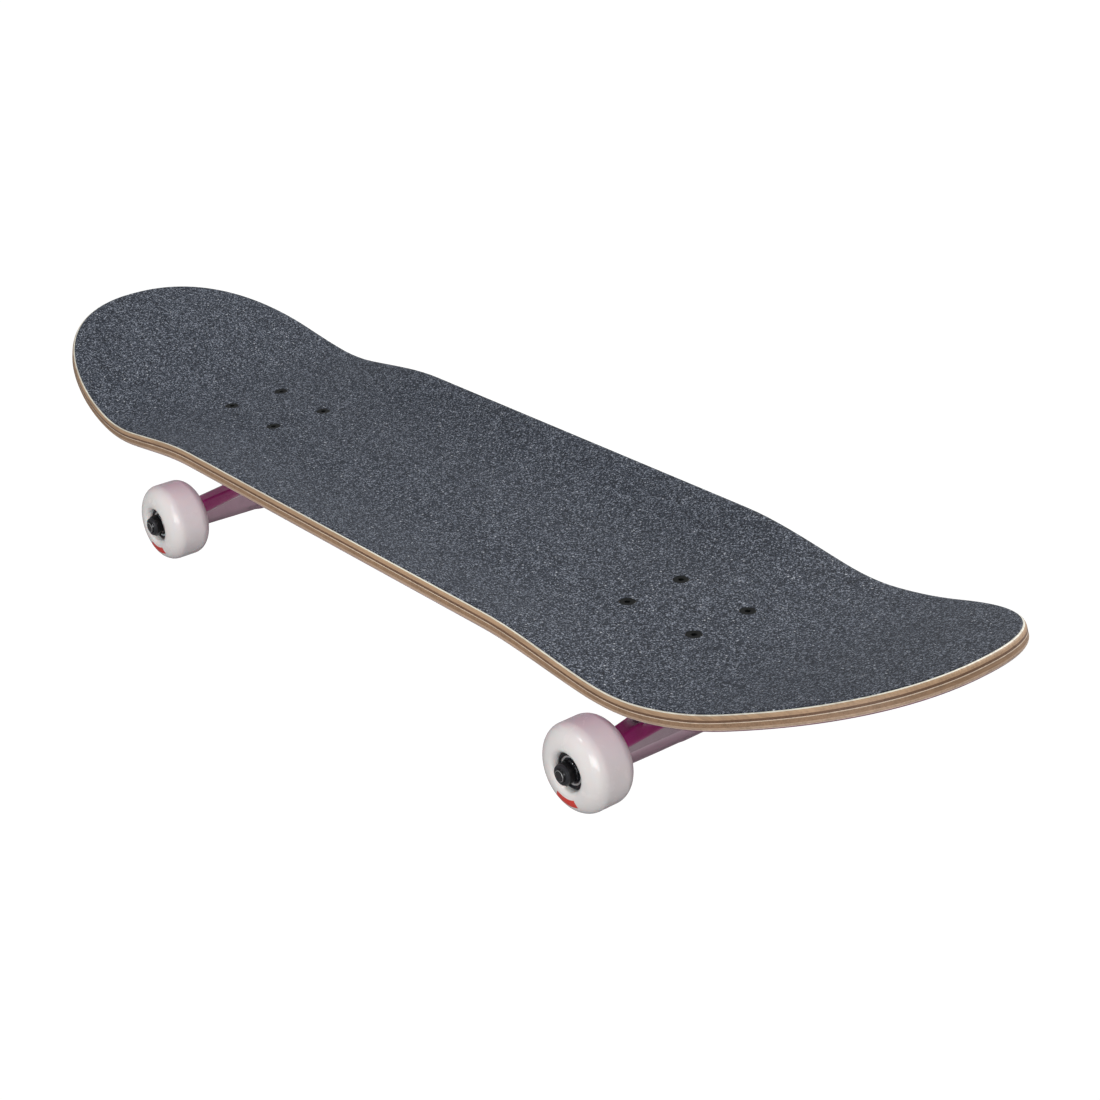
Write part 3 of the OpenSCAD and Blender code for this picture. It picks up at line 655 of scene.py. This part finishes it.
def surface(name, field, low, high, step, end, material):
    """Meshes the zero level of a field in a truck's frame: one point per crossed cell, moved onto
    the surface, with normals from the field."""
    axes = [np.arange(l, h + step, step) for l, h in zip(low, high)]
    grid = np.meshgrid(*axes, indexing="ij")
    values = field(*grid)
    inside = values < 0
    n = [len(a) - 1 for a in axes]
    corners = [(i, j, k) for i in (0, 1) for j in (0, 1) for k in (0, 1)]

    def corner(array, c):
        return array[c[0]:c[0] + n[0], c[1]:c[1] + n[1], c[2]:c[2] + n[2]]
    count = sum(corner(inside, c).astype(np.int8) for c in corners)
    cell = np.argwhere((count > 0) & (count < 8))
    v = {c: values[cell[:, 0] + c[0], cell[:, 1] + c[1], cell[:, 2] + c[2]] for c in corners}
    total, weight = np.zeros((len(cell), 3)), np.zeros(len(cell))
    for p in corners:
        for axis in range(3):
            if p[axis]:
                continue
            q = tuple(1 if i == axis else p[i] for i in range(3))
            crossed = (v[p] < 0) != (v[q] < 0)
            t = np.where(crossed, v[p] / np.where(crossed, v[p] - v[q], 1), 0)
            at = np.tile(np.array(p, float), (len(cell), 1))
            at[:, axis] += t
            total += at * crossed[:, None]
            weight += crossed
    points = np.array(low) + (cell + total / weight[:, None]) * step

    def gradient(p, e=0.02):
        g = np.empty_like(p)
        for axis in range(3):
            o = np.zeros(3)
            o[axis] = e
            g[:, axis] = (field(*(p + o).T) - field(*(p - o).T)) / (2 * e)
        return g
    for _ in range(3):
        g = gradient(points)
        f = field(*points.T)
        move = (f / np.maximum((g ** 2).sum(1), 0.05))[:, None] * g
        size = np.linalg.norm(move, axis=1, keepdims=True)
        points = points - move * np.minimum(1, 0.5 * step / np.maximum(size, 1e-9))
    normals = gradient(points, 0.12)
    normals /= np.linalg.norm(normals, axis=1, keepdims=True)
    number = np.full(tuple(n), -1)
    number[tuple(cell.T)] = np.arange(len(cell))
    faces = []
    for axis in range(3):
        u, w = (axis + 1) % 3, (axis + 2) % 3
        here = [slice(1, -1)] * 3
        here[axis] = slice(0, -1)
        there = list(here)
        there[axis] = slice(1, None)
        a, b = inside[tuple(here)], inside[tuple(there)]
        at = np.argwhere(a != b)
        outward = a[tuple(at.T)]
        base = at.copy()
        base[:, u] += 1
        base[:, w] += 1
        ring = []
        for du, dw in ((-1, -1), (0, -1), (0, 0), (-1, 0)):
            c = base.copy()
            c[:, u] += du
            c[:, w] += dw
            ring.append(number[tuple(c.T)])
        quad = np.stack(ring, 1)
        quad[~outward] = quad[~outward][:, ::-1]
        faces.append(quad)
    faces = np.concatenate(faces).tolist()
    points = at_truck(end, points)
    normals = normals * np.array([ENDS[end], ENDS[end], 1.0])
    return make_mesh(name, points, faces, [material], normals=normals)


LEAN, STEER = math.radians(12), math.atan(20.5 / 39)
SEAT, PIVOT = (-13, -31), (26, -10.5)
KINGPIN_DIR = (-math.sin(LEAN), -math.cos(LEAN))
PIVOT_DIR = (math.cos(STEER), math.sin(STEER))
AXLE_AT = (AXLE_OFFSET, -TRUCK_H)
RING_R, RING_HALF_T, RING_HOLE_R, PIVOT_R = 16.5, 5, 8.5, 5.5
POCKET_R, SEAT_R, SEAT_DEPTH = 15.6, 12.6, 1
HANGER_HALF, COLLAR_R, ARM_OUT, ARM_IN = 71, 8.8, 66, 24
WEB_TOP, AXLE_BORE_R = -32.5, 4.05
PLATE_HALF_X, PLATE_HALF_Y, PLATE_CORNER_R = 38.5, 28, 7
KINGPIN_BORE_R, CUP_T, HEAD_POCKET_R, HEAD_POCKET_DEPTH = 4.81, 1.7, 8.35, 5.2
BUSHING_R, BOARD_BUSHING_H, WASHER_T = 12.3, 13.5, 1.2
ROAD_BUSHING_R, ROAD_BUSHING_H = 9.2, 10.5
BUSHING_FACE = RING_HALF_T - SEAT_DEPTH
BOARD_WASHER_AT = -(BUSHING_FACE + BOARD_BUSHING_H + WASHER_T)
ROAD_WASHER_AT = BUSHING_FACE + ROAD_BUSHING_H
# Corners of the hanger's beam about the axle: angle and radius at the arm's end, then near the middle
BEAM = [[34, 10.4, 38, 13.4], [8, 10.7, 5, 13.2], [-20, 10.6, -22, 12.2], [-51, 10.8, -51, 11.6],
        [-90, 10.4, -90, 11.4], [-128, 10.2, -128, 11.4], [-166, 10.1, -166, 12.2],
        [158, 10.2, 144, 14.2], [120, 10.9, 122, 18.2], [74, 10.3, 76, 15.6]]


def beam_planes():
    """Planes of the beam's faces about the axle, as (normal, offset): tapered arms and level middle."""
    def point(c, at, y):
        a = math.radians(c[at])
        return np.array([c[at + 1] * math.cos(a), y, c[at + 1] * math.sin(a)])
    planes = []
    for c, d in zip(BEAM, BEAM[1:] + BEAM[:1]):
        arm = [point(c, 0, ARM_OUT), point(d, 0, ARM_OUT), point(d, 2, ARM_IN), point(c, 2, ARM_IN)]
        level = [point(c, 2, 0), point(d, 2, 0), point(d, 2, 9), point(c, 2, 9)]
        for pts in (arm, level):
            middle = sum(pts) / 4
            n = np.cross(pts[2] - pts[0], pts[3] - pts[1])
            n /= np.linalg.norm(n)
            n = n if n @ middle > n[1] * middle[1] else -n
            planes.append((n, n @ middle))
    return planes


PLANES = beam_planes()


def hanger_field(x, y, z):
    """Distance to the hanger: a faceted beam, collars, web, neck, bushing ring and pivot, less its
    holes and the two seats of the bushings."""
    ay = np.abs(y)
    ax, az = x - AXLE_AT[0], z - AXLE_AT[1]
    k = 0.32  # roundness of the beam's ridges
    total = 0
    for n, d in PLANES:
        total = total + np.exp(np.clip((n[0] * ax + n[1] * ay + n[2] * az - d) / k, -60, 60))
    beam = meet(k * np.log(total), ay - ARM_OUT, 2.5)
    r = np.sqrt(ax ** 2 + az ** 2)
    collar = meet(r - COLLAR_R, ay - HANGER_HALF, 0.8)
    body = join(beam, collar, 2.0)
    t, kr, _ = axis_frame(x, y, z, SEAT, KINGPIN_DIR)
    s, pr, _ = axis_frame(x, y, z, PIVOT, PIVOT_DIR)
    web_side = rounded_hull(x, z, [(-6, WEB_TOP), (AXLE_AT[0] - 1, AXLE_AT[1])], [4.6, 9.5])
    share = np.clip((z - AXLE_AT[1]) / (WEB_TOP - AXLE_AT[1]), 0, 1)
    web = meet(web_side, ay - (19 - 5.5 * share), 4)
    body = join(body, web, 5)
    neck_side = rounded_hull(x, z, [(12, -17.9), (AXLE_AT[0] + 1, AXLE_AT[1] + 4), (-1, -25)],
                             [6.8, 6, 6.5])
    neck = meet(neck_side, ay - (5.6 + 3.4 * share), 3.5)
    body = join(body, neck, 4)
    body = cut(body, rod(t, kr, POCKET_R, RING_HALF_T - 0.6, 60), 1.0)
    body = cut(body, rod(t, kr, POCKET_R, -60, 0.6 - RING_HALF_T), 1.0)
    body = join(body, rod(t, kr, RING_R, -RING_HALF_T, RING_HALF_T, 1.6), 1.6)
    pivot = np.where(s > 0, np.sqrt(s ** 2 + pr ** 2) - PIVOT_R, pr - PIVOT_R)
    body = join(body, meet(pivot, -20 - s, 1), 2.2)
    body = cut(body, kr - RING_HOLE_R, 0.8)
    for low, high in ((-30, -BUSHING_FACE), (BUSHING_FACE, 30)):
        body = cut(body, rod(t, kr, SEAT_R, low, high, 0.3), 0.4)
    return cut(body, r - AXLE_BORE_R, 0.5)


def plate_field(x, y, z):
    """Distance to the baseplate: a plate with bosses for the kingpin and the pivot and a spine, less
    its holes, the pocket of the kingpin's head and two long hollows."""
    qx = np.abs(x) - (PLATE_HALF_X - PLATE_CORNER_R)
    qy = np.abs(y) - (PLATE_HALF_Y - PLATE_CORNER_R)
    outline = (np.sqrt(np.clip(qx, 0, None) ** 2 + np.clip(qy, 0, None) ** 2)
               + np.minimum(np.maximum(qx, qy), 0) - PLATE_CORNER_R)
    plate = meet(meet(outline, -PLATE_T - z, 1.6), z, 0.3)
    t, kr, across = axis_frame(x, y, z, SEAT, KINGPIN_DIR)
    s, pr, _ = axis_frame(x, y, z, PIVOT, PIVOT_DIR)
    body = join(plate, rod(t, kr, 13.2, BOARD_WASHER_AT - 40, BOARD_WASHER_AT, 1.0), 2.5)
    body = join(body, rod(s, pr, PIVOT_R + 5.3, -8, 8, 1.6), 2.5)
    spine = meet(meet(np.abs(x - 5) - 29, np.abs(y) - 11, 2), -7.6 - z, 1)
    body = join(body, meet(spine, z, 0.3), 2)
    body = meet(body, z, 0.3)
    for sx in (-0.5, 0.5):
        for sy in (-0.5, 0.5):
            hole = np.sqrt((x - sx * BOLT_DX) ** 2 + (y - sy * BOLT_DY) ** 2)
            body = cut(body, hole - BOLT_HOLE_R, 0.5)
    body = cut(body, kr - KINGPIN_BORE_R, 0.4)
    half, tall = 0.5, math.sqrt(3) / 2
    hexa = (np.maximum(np.abs(y) * tall + np.abs(across) * half, np.abs(across))
            - HEAD_POCKET_R * tall)
    body = cut(body, meet(hexa, t - (BOARD_WASHER_AT - HEAD_POCKET_DEPTH), 0.3), 0.4)
    cup = np.where(s > 0, np.sqrt(s ** 2 + pr ** 2), pr) - (PIVOT_R + CUP_T)
    body = cut(body, cup, 0.5)
    pocket_x = np.clip(np.abs(x) - 13, 0, None)
    pocket = np.sqrt(pocket_x ** 2 + (np.abs(y) - 19) ** 2) - 3.5
    return cut(body, meet(pocket, -3 - z, 0.5), 0.5)


STEP = 0.75
for end in ENDS:
    mesh = surface(f"{end}_hanger_casting", hanger_field, (-31.5, -73, -67), (34, 73, -2), STEP, end,
                   "polished_aluminium_painted_pink_reflection")
    put(mesh, f"{end}_hanger_body", f"{end}_hanger")
    mesh = surface(f"{end}_baseplate_casting", plate_field, (-40.3, -30, -26), (41, 30, 1.5), STEP,
                   end, "cast_aluminium")
    put(mesh, "deck", f"{end}_baseplate")


# ---------- Truck hardware ----------
def on_axis(end, origin, direction, points, shift=0.0, spin=0.0):
    """Points turned about an axis in a truck's plane y = 0, in the row frame."""
    d3 = np.array([direction[0], 0, direction[1]])
    o3 = np.array([origin[0], 0, origin[1]]) + shift * d3
    return at_truck(end, along(points, o3, d3, spin))


HEX_R, KINGPIN_R, KINGPIN_NUT_H, KINGPIN_HEAD_H = 8.2, 4.76, 8.5, 4.6
AXLE_R, AXLE_NUT_CORNER_R, AXLE_NUT_TURN = 3.97, 7.33, 0.25
AXLE_WASHER_AT = WHEEL_Y + 12  # against the wheel's outer bearing
HEAD_AT = BOARD_WASHER_AT - HEAD_POCKET_DEPTH - KINGPIN_HEAD_H
KINGPIN_END = ROAD_WASHER_AT + WASHER_T + KINGPIN_NUT_H + 1.5


def cup_washer_rings(r):
    """A washer whose rim bends round the end of a bushing of radius r."""
    b = KINGPIN_R + 0.15
    return [(b, 0), (r, 0), (r + 0.45, 0.2), (r + 0.9, 0.75), (r + 0.9, 2.0), (r + 0.75, 2.1),
            (r + 0.45, 2.1), (r + 0.3, 1.95), (r + 0.25, 1.45), (r - 0.1, WASHER_T), (b, WASHER_T)]


def bushing_rings(h, ring_r, far_r):
    """A bushing of height h, from its radius at the hanger to the one at its washer."""
    b = KINGPIN_R + 0.15
    return [(b, 0), (ring_r - 1.3, 0), (ring_r - 0.4, 0.3), (ring_r, 1.1),
            ((ring_r + far_r) / 2, h / 2), (far_r, h - 1.1), (far_r - 0.4, h - 0.3),
            (far_r - 1.3, h), (b, h)]


for end in ENDS:
    body = f"{end}_hanger_body"
    cup_out, cup_in, bends = PIVOT_R + CUP_T, PIVOT_R + 0.1, np.radians([18, 36, 54, 72])
    cup = ([(cup_in, -8), (cup_out, -8), (cup_out, 0)]
           + [(cup_out * math.cos(a), cup_out * math.sin(a)) for a in bends]
           + [(0, cup_out), (0, cup_in)]
           + [(cup_in * math.cos(a), cup_in * math.sin(a)) for a in bends[::-1]]
           + [(cup_in, 0)])
    points, faces = turned(cup, 64)
    mesh = make_mesh(f"{end}_pivot_bush", on_axis(end, PIVOT, PIVOT_DIR, points), faces,
                     ["cup_black"])
    put(mesh, "deck", f"{end}_pivot_cup")

    head = hexagon(HEX_R)
    rings = ([(0, HEAD_AT), (smaller(head, 6.6), HEAD_AT), (smaller(head, 7.5), HEAD_AT + 0.3),
              (head, HEAD_AT + 1), (head, HEAD_AT + KINGPIN_HEAD_H),
              (KINGPIN_R, HEAD_AT + KINGPIN_HEAD_H), (KINGPIN_R, KINGPIN_END - 6.0)]
             + thread(KINGPIN_R, 0.35, 1.06, KINGPIN_END - 5.8, 5.0)
             + [(KINGPIN_R - 0.8, KINGPIN_END), (0, KINGPIN_END)])
    points, faces = turned(rings, NUT_SEGMENTS, closed=False)
    mesh = make_mesh(f"{end}_kingpin_bolt", on_axis(end, SEAT, KINGPIN_DIR, points), faces,
                     ["zinc_steel"])
    put(mesh, "deck", f"{end}_kingpin")

    at = ROAD_WASHER_AT + WASHER_T
    rings = [(KINGPIN_R + 0.05, 0), (6.9, 0), (7.0, 0.15), (smaller(head, 7.45), 0.15),
             (smaller(head, 7.85), 0.5), (head, 0.95), (head, 5.3), (smaller(head, 7.7), 5.9),
             (smaller(head, 7.15), 6.2), (6.8, 6.25), (6.75, 7.4), (6.3, 8.2), (5.6, KINGPIN_NUT_H),
             (KINGPIN_R + 0.35, KINGPIN_NUT_H), (KINGPIN_R + 0.05, 8.2)]
    points, faces = turned(rings, NUT_SEGMENTS)
    mesh = make_mesh(f"{end}_kingpin_locknut", on_axis(end, SEAT, KINGPIN_DIR, points, at), faces,
                     ["black_steel", "nylon_dark"], banded(faces, NUT_SEGMENTS, *NYLON_RINGS))
    put(mesh, "deck", f"{end}_kingpin_nut")

    for name, rings, at, flip, look, slot in (
            ("board_side_washer", cup_washer_rings(BUSHING_R), BOARD_WASHER_AT, 1, "zinc_steel",
             "steel"),
            ("road_side_washer", cup_washer_rings(ROAD_BUSHING_R), ROAD_WASHER_AT + WASHER_T, -1,
             "zinc_steel", "steel"),
            ("board_side_bushing", bushing_rings(BOARD_BUSHING_H, BUSHING_R, BUSHING_R),
             -BUSHING_FACE, -1, "bushing_urethane", "bushing_urethane"),
            ("road_side_bushing", bushing_rings(ROAD_BUSHING_H, BUSHING_R, ROAD_BUSHING_R),
             BUSHING_FACE, 1, "bushing_urethane", "bushing_urethane")):
        points, faces = turned(rings, ROUND_SEGMENTS)
        direction = (KINGPIN_DIR[0] * flip, KINGPIN_DIR[1] * flip)
        points = on_axis(end, SEAT, direction, points, at * flip)
        put(make_mesh(f"{end}_{name}_piece", points, faces, [look]), "deck", f"{end}_{name}")

    rings = ([(0, -AXLE_HALF), (3.1, -AXLE_HALF), (3.3, -AXLE_HALF + 0.15)]
             + thread(AXLE_R, 0.3, 1.06, -AXLE_HALF + 0.35, 8.4) + [(AXLE_R, -AXLE_HALF + 9.2)])
    rings = rings + [(r, -h) for r, h in reversed(rings)]
    points, faces = turned(rings, 48, closed=False)
    looks = [int(3 < np.hypot(*points[f][:, :2].T).mean() and abs(points[f][:, 2].mean())
                 > AXLE_HALF - 0.2) for f in faces]
    mesh = make_mesh(f"{end}_axle_rod", along(points, AXLE_MID[end], (0, 1, 0)), faces,
                     ["axle_dark", "clip_steel"], looks)
    put(mesh, body, f"{end}_axle")

    washers, nuts = Parts(), Parts()
    for g in SIDES.values():
        for at in (HANGER_HALF, AXLE_WASHER_AT):
            points, faces = turned([(4.07, 0), (5.6, 0), (5.88, 0.2), (5.88, 0.8), (5.6, 1),
                                    (4.07, 1)], 64)
            washers.add(along(points, AXLE_MID[end] + (0, g * at, 0), (0, g, 0)), faces)
        nut = hexagon(AXLE_NUT_CORNER_R)
        rings = [(4.02, 0), (6.2, 0), (6.25, 0.12), (smaller(nut, 6.65), 0.12),
                 (smaller(nut, 7.0), 0.45), (nut, 0.85), (nut, 3.75), (smaller(nut, 6.95), 4.2),
                 (smaller(nut, 6.55), 4.4), (6.25, 4.45), (6.2, 5.4), (5.8, 6.1), (5.2, 6.4),
                 (4.35, 6.4), (4.02, 6.15)]
        points, faces = turned(rings, NUT_SEGMENTS)
        looks = banded(faces, NUT_SEGMENTS, *NYLON_RINGS)
        nuts.add(along(points, AXLE_MID[end] + (0, g * (AXLE_WASHER_AT + 1), 0), (0, g, 0),
                       AXLE_NUT_TURN), faces, looks)
    put(washers.mesh(f"{end}_thin_washers", ["bearing_steel"]), body,
        f"{end}_speed_washers")
    put(nuts.mesh(f"{end}_axle_locknuts", ["black_steel", "nylon_dark"]), body,
        f"{end}_axle_nuts")

# ---------- Wheels and bearings ----------
WHEEL_R, WHEEL_HALF, TREAD_HALF, LIP_R = 26.5, 16.0, 6.0, 14.3
BEARING_AT, BEARING_HALF, SEAL_SEAT_R = 8.5, 3.5, 9.6
SEAT_OUT, BORE_R = 12.0, 11.02
LABEL_RINGS, LABEL_FROM, LABEL_TO = (0.04, 0.33), -117, -65  # share of the domed side, and degrees
MOUTH_STEPS, DOME_STEPS, WHEEL_SEGMENTS = 12, 26, 160
CLIP_RINGS = (4, 8)  # the rings of a bearing shield that are its bright ridge


def wheel_profile():
    """Closed profile of a wheel: bearing step and seat, round mouth, domed side and flat tread."""
    mouth = WHEEL_HALF - SEAT_OUT - 0.3
    half = [(8.6, 0.0), (8.6, 4.7), (8.9, 5.0), (BORE_R, 5.0), (BORE_R, SEAT_OUT + 0.3)]
    for i in range(1, MOUTH_STEPS + 1):
        a = math.pi / 2 * i / MOUTH_STEPS
        half.append((LIP_R - (LIP_R - BORE_R) * math.cos(a), SEAT_OUT + 0.3 + mouth * math.sin(a)))
    for i in range(1, DOME_STEPS + 1):
        a = math.pi / 2 * i / DOME_STEPS
        half.append((LIP_R + (WHEEL_R - LIP_R) * math.sin(a),
                     TREAD_HALF + (WHEEL_HALF - TREAD_HALF) * math.cos(a)))
    half.append((WHEEL_R, 2.0))
    return half + [(r, -h) for r, h in reversed(half[1:])]


BALLS, BALL_R, PITCH_R, CAGE_HALF_T, CAGE_BOTTOM, CAGE_TOP = 7, 1.984, 7.5, 0.6, -2.7, 0.8


def ball_set():
    """The shapes of one bearing's balls, and last the cage that holds them apart, about local z."""
    arc = [(BALL_R * math.sin(a), -BALL_R * math.cos(a)) for a in np.radians(range(15, 180, 15))]
    ball, ball_faces = turned([(0, -BALL_R)] + arc + [(0, BALL_R)], 24, closed=False)
    gap = 2 * math.pi / BALLS
    shapes = [(ball + (PITCH_R * math.cos(i * gap), PITCH_R * math.sin(i * gap), 0), ball_faces)
              for i in range(BALLS)]

    def rim(a):
        off = PITCH_R * np.sin((a + gap / 2) % gap - gap / 2)
        pocket = (BALL_R + 0.1) ** 2 - off ** 2
        return np.where(pocket > 0, -np.sqrt(np.clip(pocket, 0, None)), CAGE_TOP)
    far, near = PITCH_R + CAGE_HALF_T, PITCH_R - CAGE_HALF_T
    cage = turned([(near, CAGE_BOTTOM), (far, CAGE_BOTTOM), (far, rim), (near, rim)], 20 * BALLS)
    return shapes + [cage]


for end in ENDS:
    for side, g in SIDES.items():
        name = f"{end}_{side}"
        centre = AXLE_MID[end] + (0, g * WHEEL_Y, 0)
        hub = f"{name}_wheel_body"
        points, faces = turned(wheel_profile(), WHEEL_SEGMENTS)
        first = 5 + MOUTH_STEPS
        low, high = (first + int(v * DOME_STEPS) for v in LABEL_RINGS)
        # local x is up or down depending on the side, so the label's angle is measured in the row
        world = along(points, (0, 0, 0), (0, g, 0))
        middle = world[np.array(faces)].mean(1)
        angle = np.degrees(np.arctan2(middle[:, 2], middle[:, 0]))
        ring = np.arange(len(faces)) // WHEEL_SEGMENTS
        looks = (low <= ring) & (ring < high) & (LABEL_FROM < angle) & (angle < LABEL_TO)
        mesh = make_mesh(f"{name}_tyre", world + centre, faces,
                         ["wheel_urethane", "wheel_print_red"], looks, sharp=50)
        put(mesh, hub, f"{name}_wheel")

        races, balls, shields = Parts(), Parts(), Parts()
        for at, flip in ((BEARING_AT, 1), (-BEARING_AT, -1)):
            rings = [(9.0, -2.4), (SEAL_SEAT_R, -2.8), (SEAL_SEAT_R, -BEARING_HALF),
                     (10.6, -BEARING_HALF), (11.0, -3.2), (11.0, 3.2), (10.6, BEARING_HALF),
                     (9.75, BEARING_HALF), (SEAL_SEAT_R, 3.35), (SEAL_SEAT_R, 2.8), (9.0, 2.4),
                     (9.3, 1.0), (9.5, 0.0), (9.3, -1.0)]
            points, faces = turned(rings, ROUND_SEGMENTS)
            here = centre + (0, g * at, 0)
            races.add(along(points, here, (0, g * flip, 0)), faces)
            for k, (points, faces) in enumerate(ball_set()):
                balls.add(along(points, here, (0, g * flip, 0)), faces, int(k == BALLS))
            for turn in (1, -1):
                rings = [(6.35, 2.9), (9.58, 2.9), (9.58, 3.05), (9.3, 3.1), (8.6, 3.08), (8.5, 3.15),
                         (8.3, 3.2), (7.9, 3.2), (7.7, 3.15), (7.6, 3.05), (6.6, 3.08), (6.35, 3.05)]
                points, faces = turned(rings, ROUND_SEGMENTS)
                looks = banded(faces, ROUND_SEGMENTS, *CLIP_RINGS)
                shields.add(along(points, here, (0, g * turn, 0)), faces, looks)
        put(races.mesh(f"{name}_bearing_rings", ["dark_race"]), hub,
            f"{name}_outer_races")
        put(shields.mesh(f"{name}_bearing_seals", ["seal_black", "clip_steel"]), hub,
            f"{name}_shields")
        put(balls.mesh(f"{name}_balls_in_cages", ["bearing_steel", "zinc_steel"]),
            f"{name}_balls", f"{name}_ball_set")
        for node, look in (("inner_races", "bearing_steel"), ("spacer", "zinc_steel")):
            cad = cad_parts[f"{name}_{node}"]
            cad.data.materials.clear()
            cad.data.materials.append(MATERIALS[look])

# ---------- Floor, light and camera ----------
def staged(name, rings, tone, glow, seen):
    """A pale turned sheet of the studio. A seen one is only for the camera, any other for light."""
    s = Shader(f"{name}_paint", Specular_IOR_Level=0.1)
    s.colour(s.ramp(s.noise(0.7, 2, 0.5), (0.3, tone * 0.98), (0.7, tone)))
    s.put(s.bsdf, "Emission Color", (1, 1, 1))
    s.put(s.bsdf, "Emission Strength", glow)
    s.rough(s.range(s.noise(30, 2, 0.5), 0.3, 0.7, 0.9, 0.95))
    points, faces = turned(rings, 48, closed=False)
    stage = show(name, make_mesh(name, points, faces, [f"{name}_paint"]))
    stage.visible_camera = seen
    for ray in ("diffuse", "glossy", "transmission", "shadow"):
        setattr(stage, f"visible_{ray}", not seen)


# The deck stays level when a truck steers, so a wheel dips below its resting height, and the floor
# that gives the shade lies just under that. The white backdrop closes all round.
BACKDROP_R, FLOOR_Z = 40000, -25
staged("floor", [(r, FLOOR_Z) for r in (0, 300, 1000, 3000, 9000)], 0.37, 0.0, False)
staged("backdrop", [(0, -BACKDROP_R)]
       + [(BACKDROP_R * math.sin(a), -BACKDROP_R * math.cos(a)) for a in np.radians(range(8, 180, 8))]
       + [(0, BACKDROP_R)], 0.10, 1.0, True)

world = bpy.data.worlds.new("studio")
world.use_nodes = True
world.node_tree.nodes["Background"].inputs[0].default_value = (1, 1, 1, 1)
world.node_tree.nodes["Background"].inputs[1].default_value = 0.30
bpy.context.scene.world = world


def softbox(name, place, target, size, power):
    light = bpy.data.lights.new(name, "AREA")
    light.shape, light.size, light.size_y = "RECTANGLE", size[0], size[1]
    light.energy = power
    lamp = show(name, light)
    lamp.location = place
    lamp.rotation_euler = (Vector(target) - Vector(place)).to_track_quat("-Z", "Y").to_euler()


softbox("key_back", (0.3, 2.6, 1.9), (0, 0, 0), (1.9, 1.9), 100)
softbox("fill_front", (3.0, -3.7, 1.7), (0, 0, 0.05), (3.6, 2.4), 138)
softbox("key_spot", (0.05, -0.58, 0.68), (0.0, -0.1, 0.04), (0.05, 0.05), 1.6)

AZIMUTH, ELEVATION, ROLL = (math.radians(v) for v in (50.723, 25.295, -1.583))
CAMERA_X, CAMERA_Y, CAMERA_Z = 936.20, -692.27, 509.93  # from above the middle, at the griptape
LENS = 65.73
back = Vector((math.sin(AZIMUTH) * math.cos(ELEVATION), -math.cos(AZIMUTH) * math.cos(ELEVATION),
               math.sin(ELEVATION)))
right = (-back).cross(Vector((0, 0, 1))).normalized()
up = right.cross(-back)
side_axis = math.cos(ROLL) * right + math.sin(ROLL) * up
up_axis = -math.sin(ROLL) * right + math.cos(ROLL) * up
camera = show("camera", bpy.data.cameras.new("camera"))
camera.data.sensor_width = 36
camera.data.lens = LENS
camera.data.clip_end = 150
place = Vector((CAMERA_X + MID_X, CAMERA_Y, CAMERA_Z + GRIP_TOP_Z)) * MM
camera.matrix_world = (Matrix.Translation(place)
                       @ Matrix((side_axis, up_axis, back)).transposed().to_4x4())
bpy.context.scene.camera = camera
bpy.context.scene.view_settings.view_transform = "Standard"
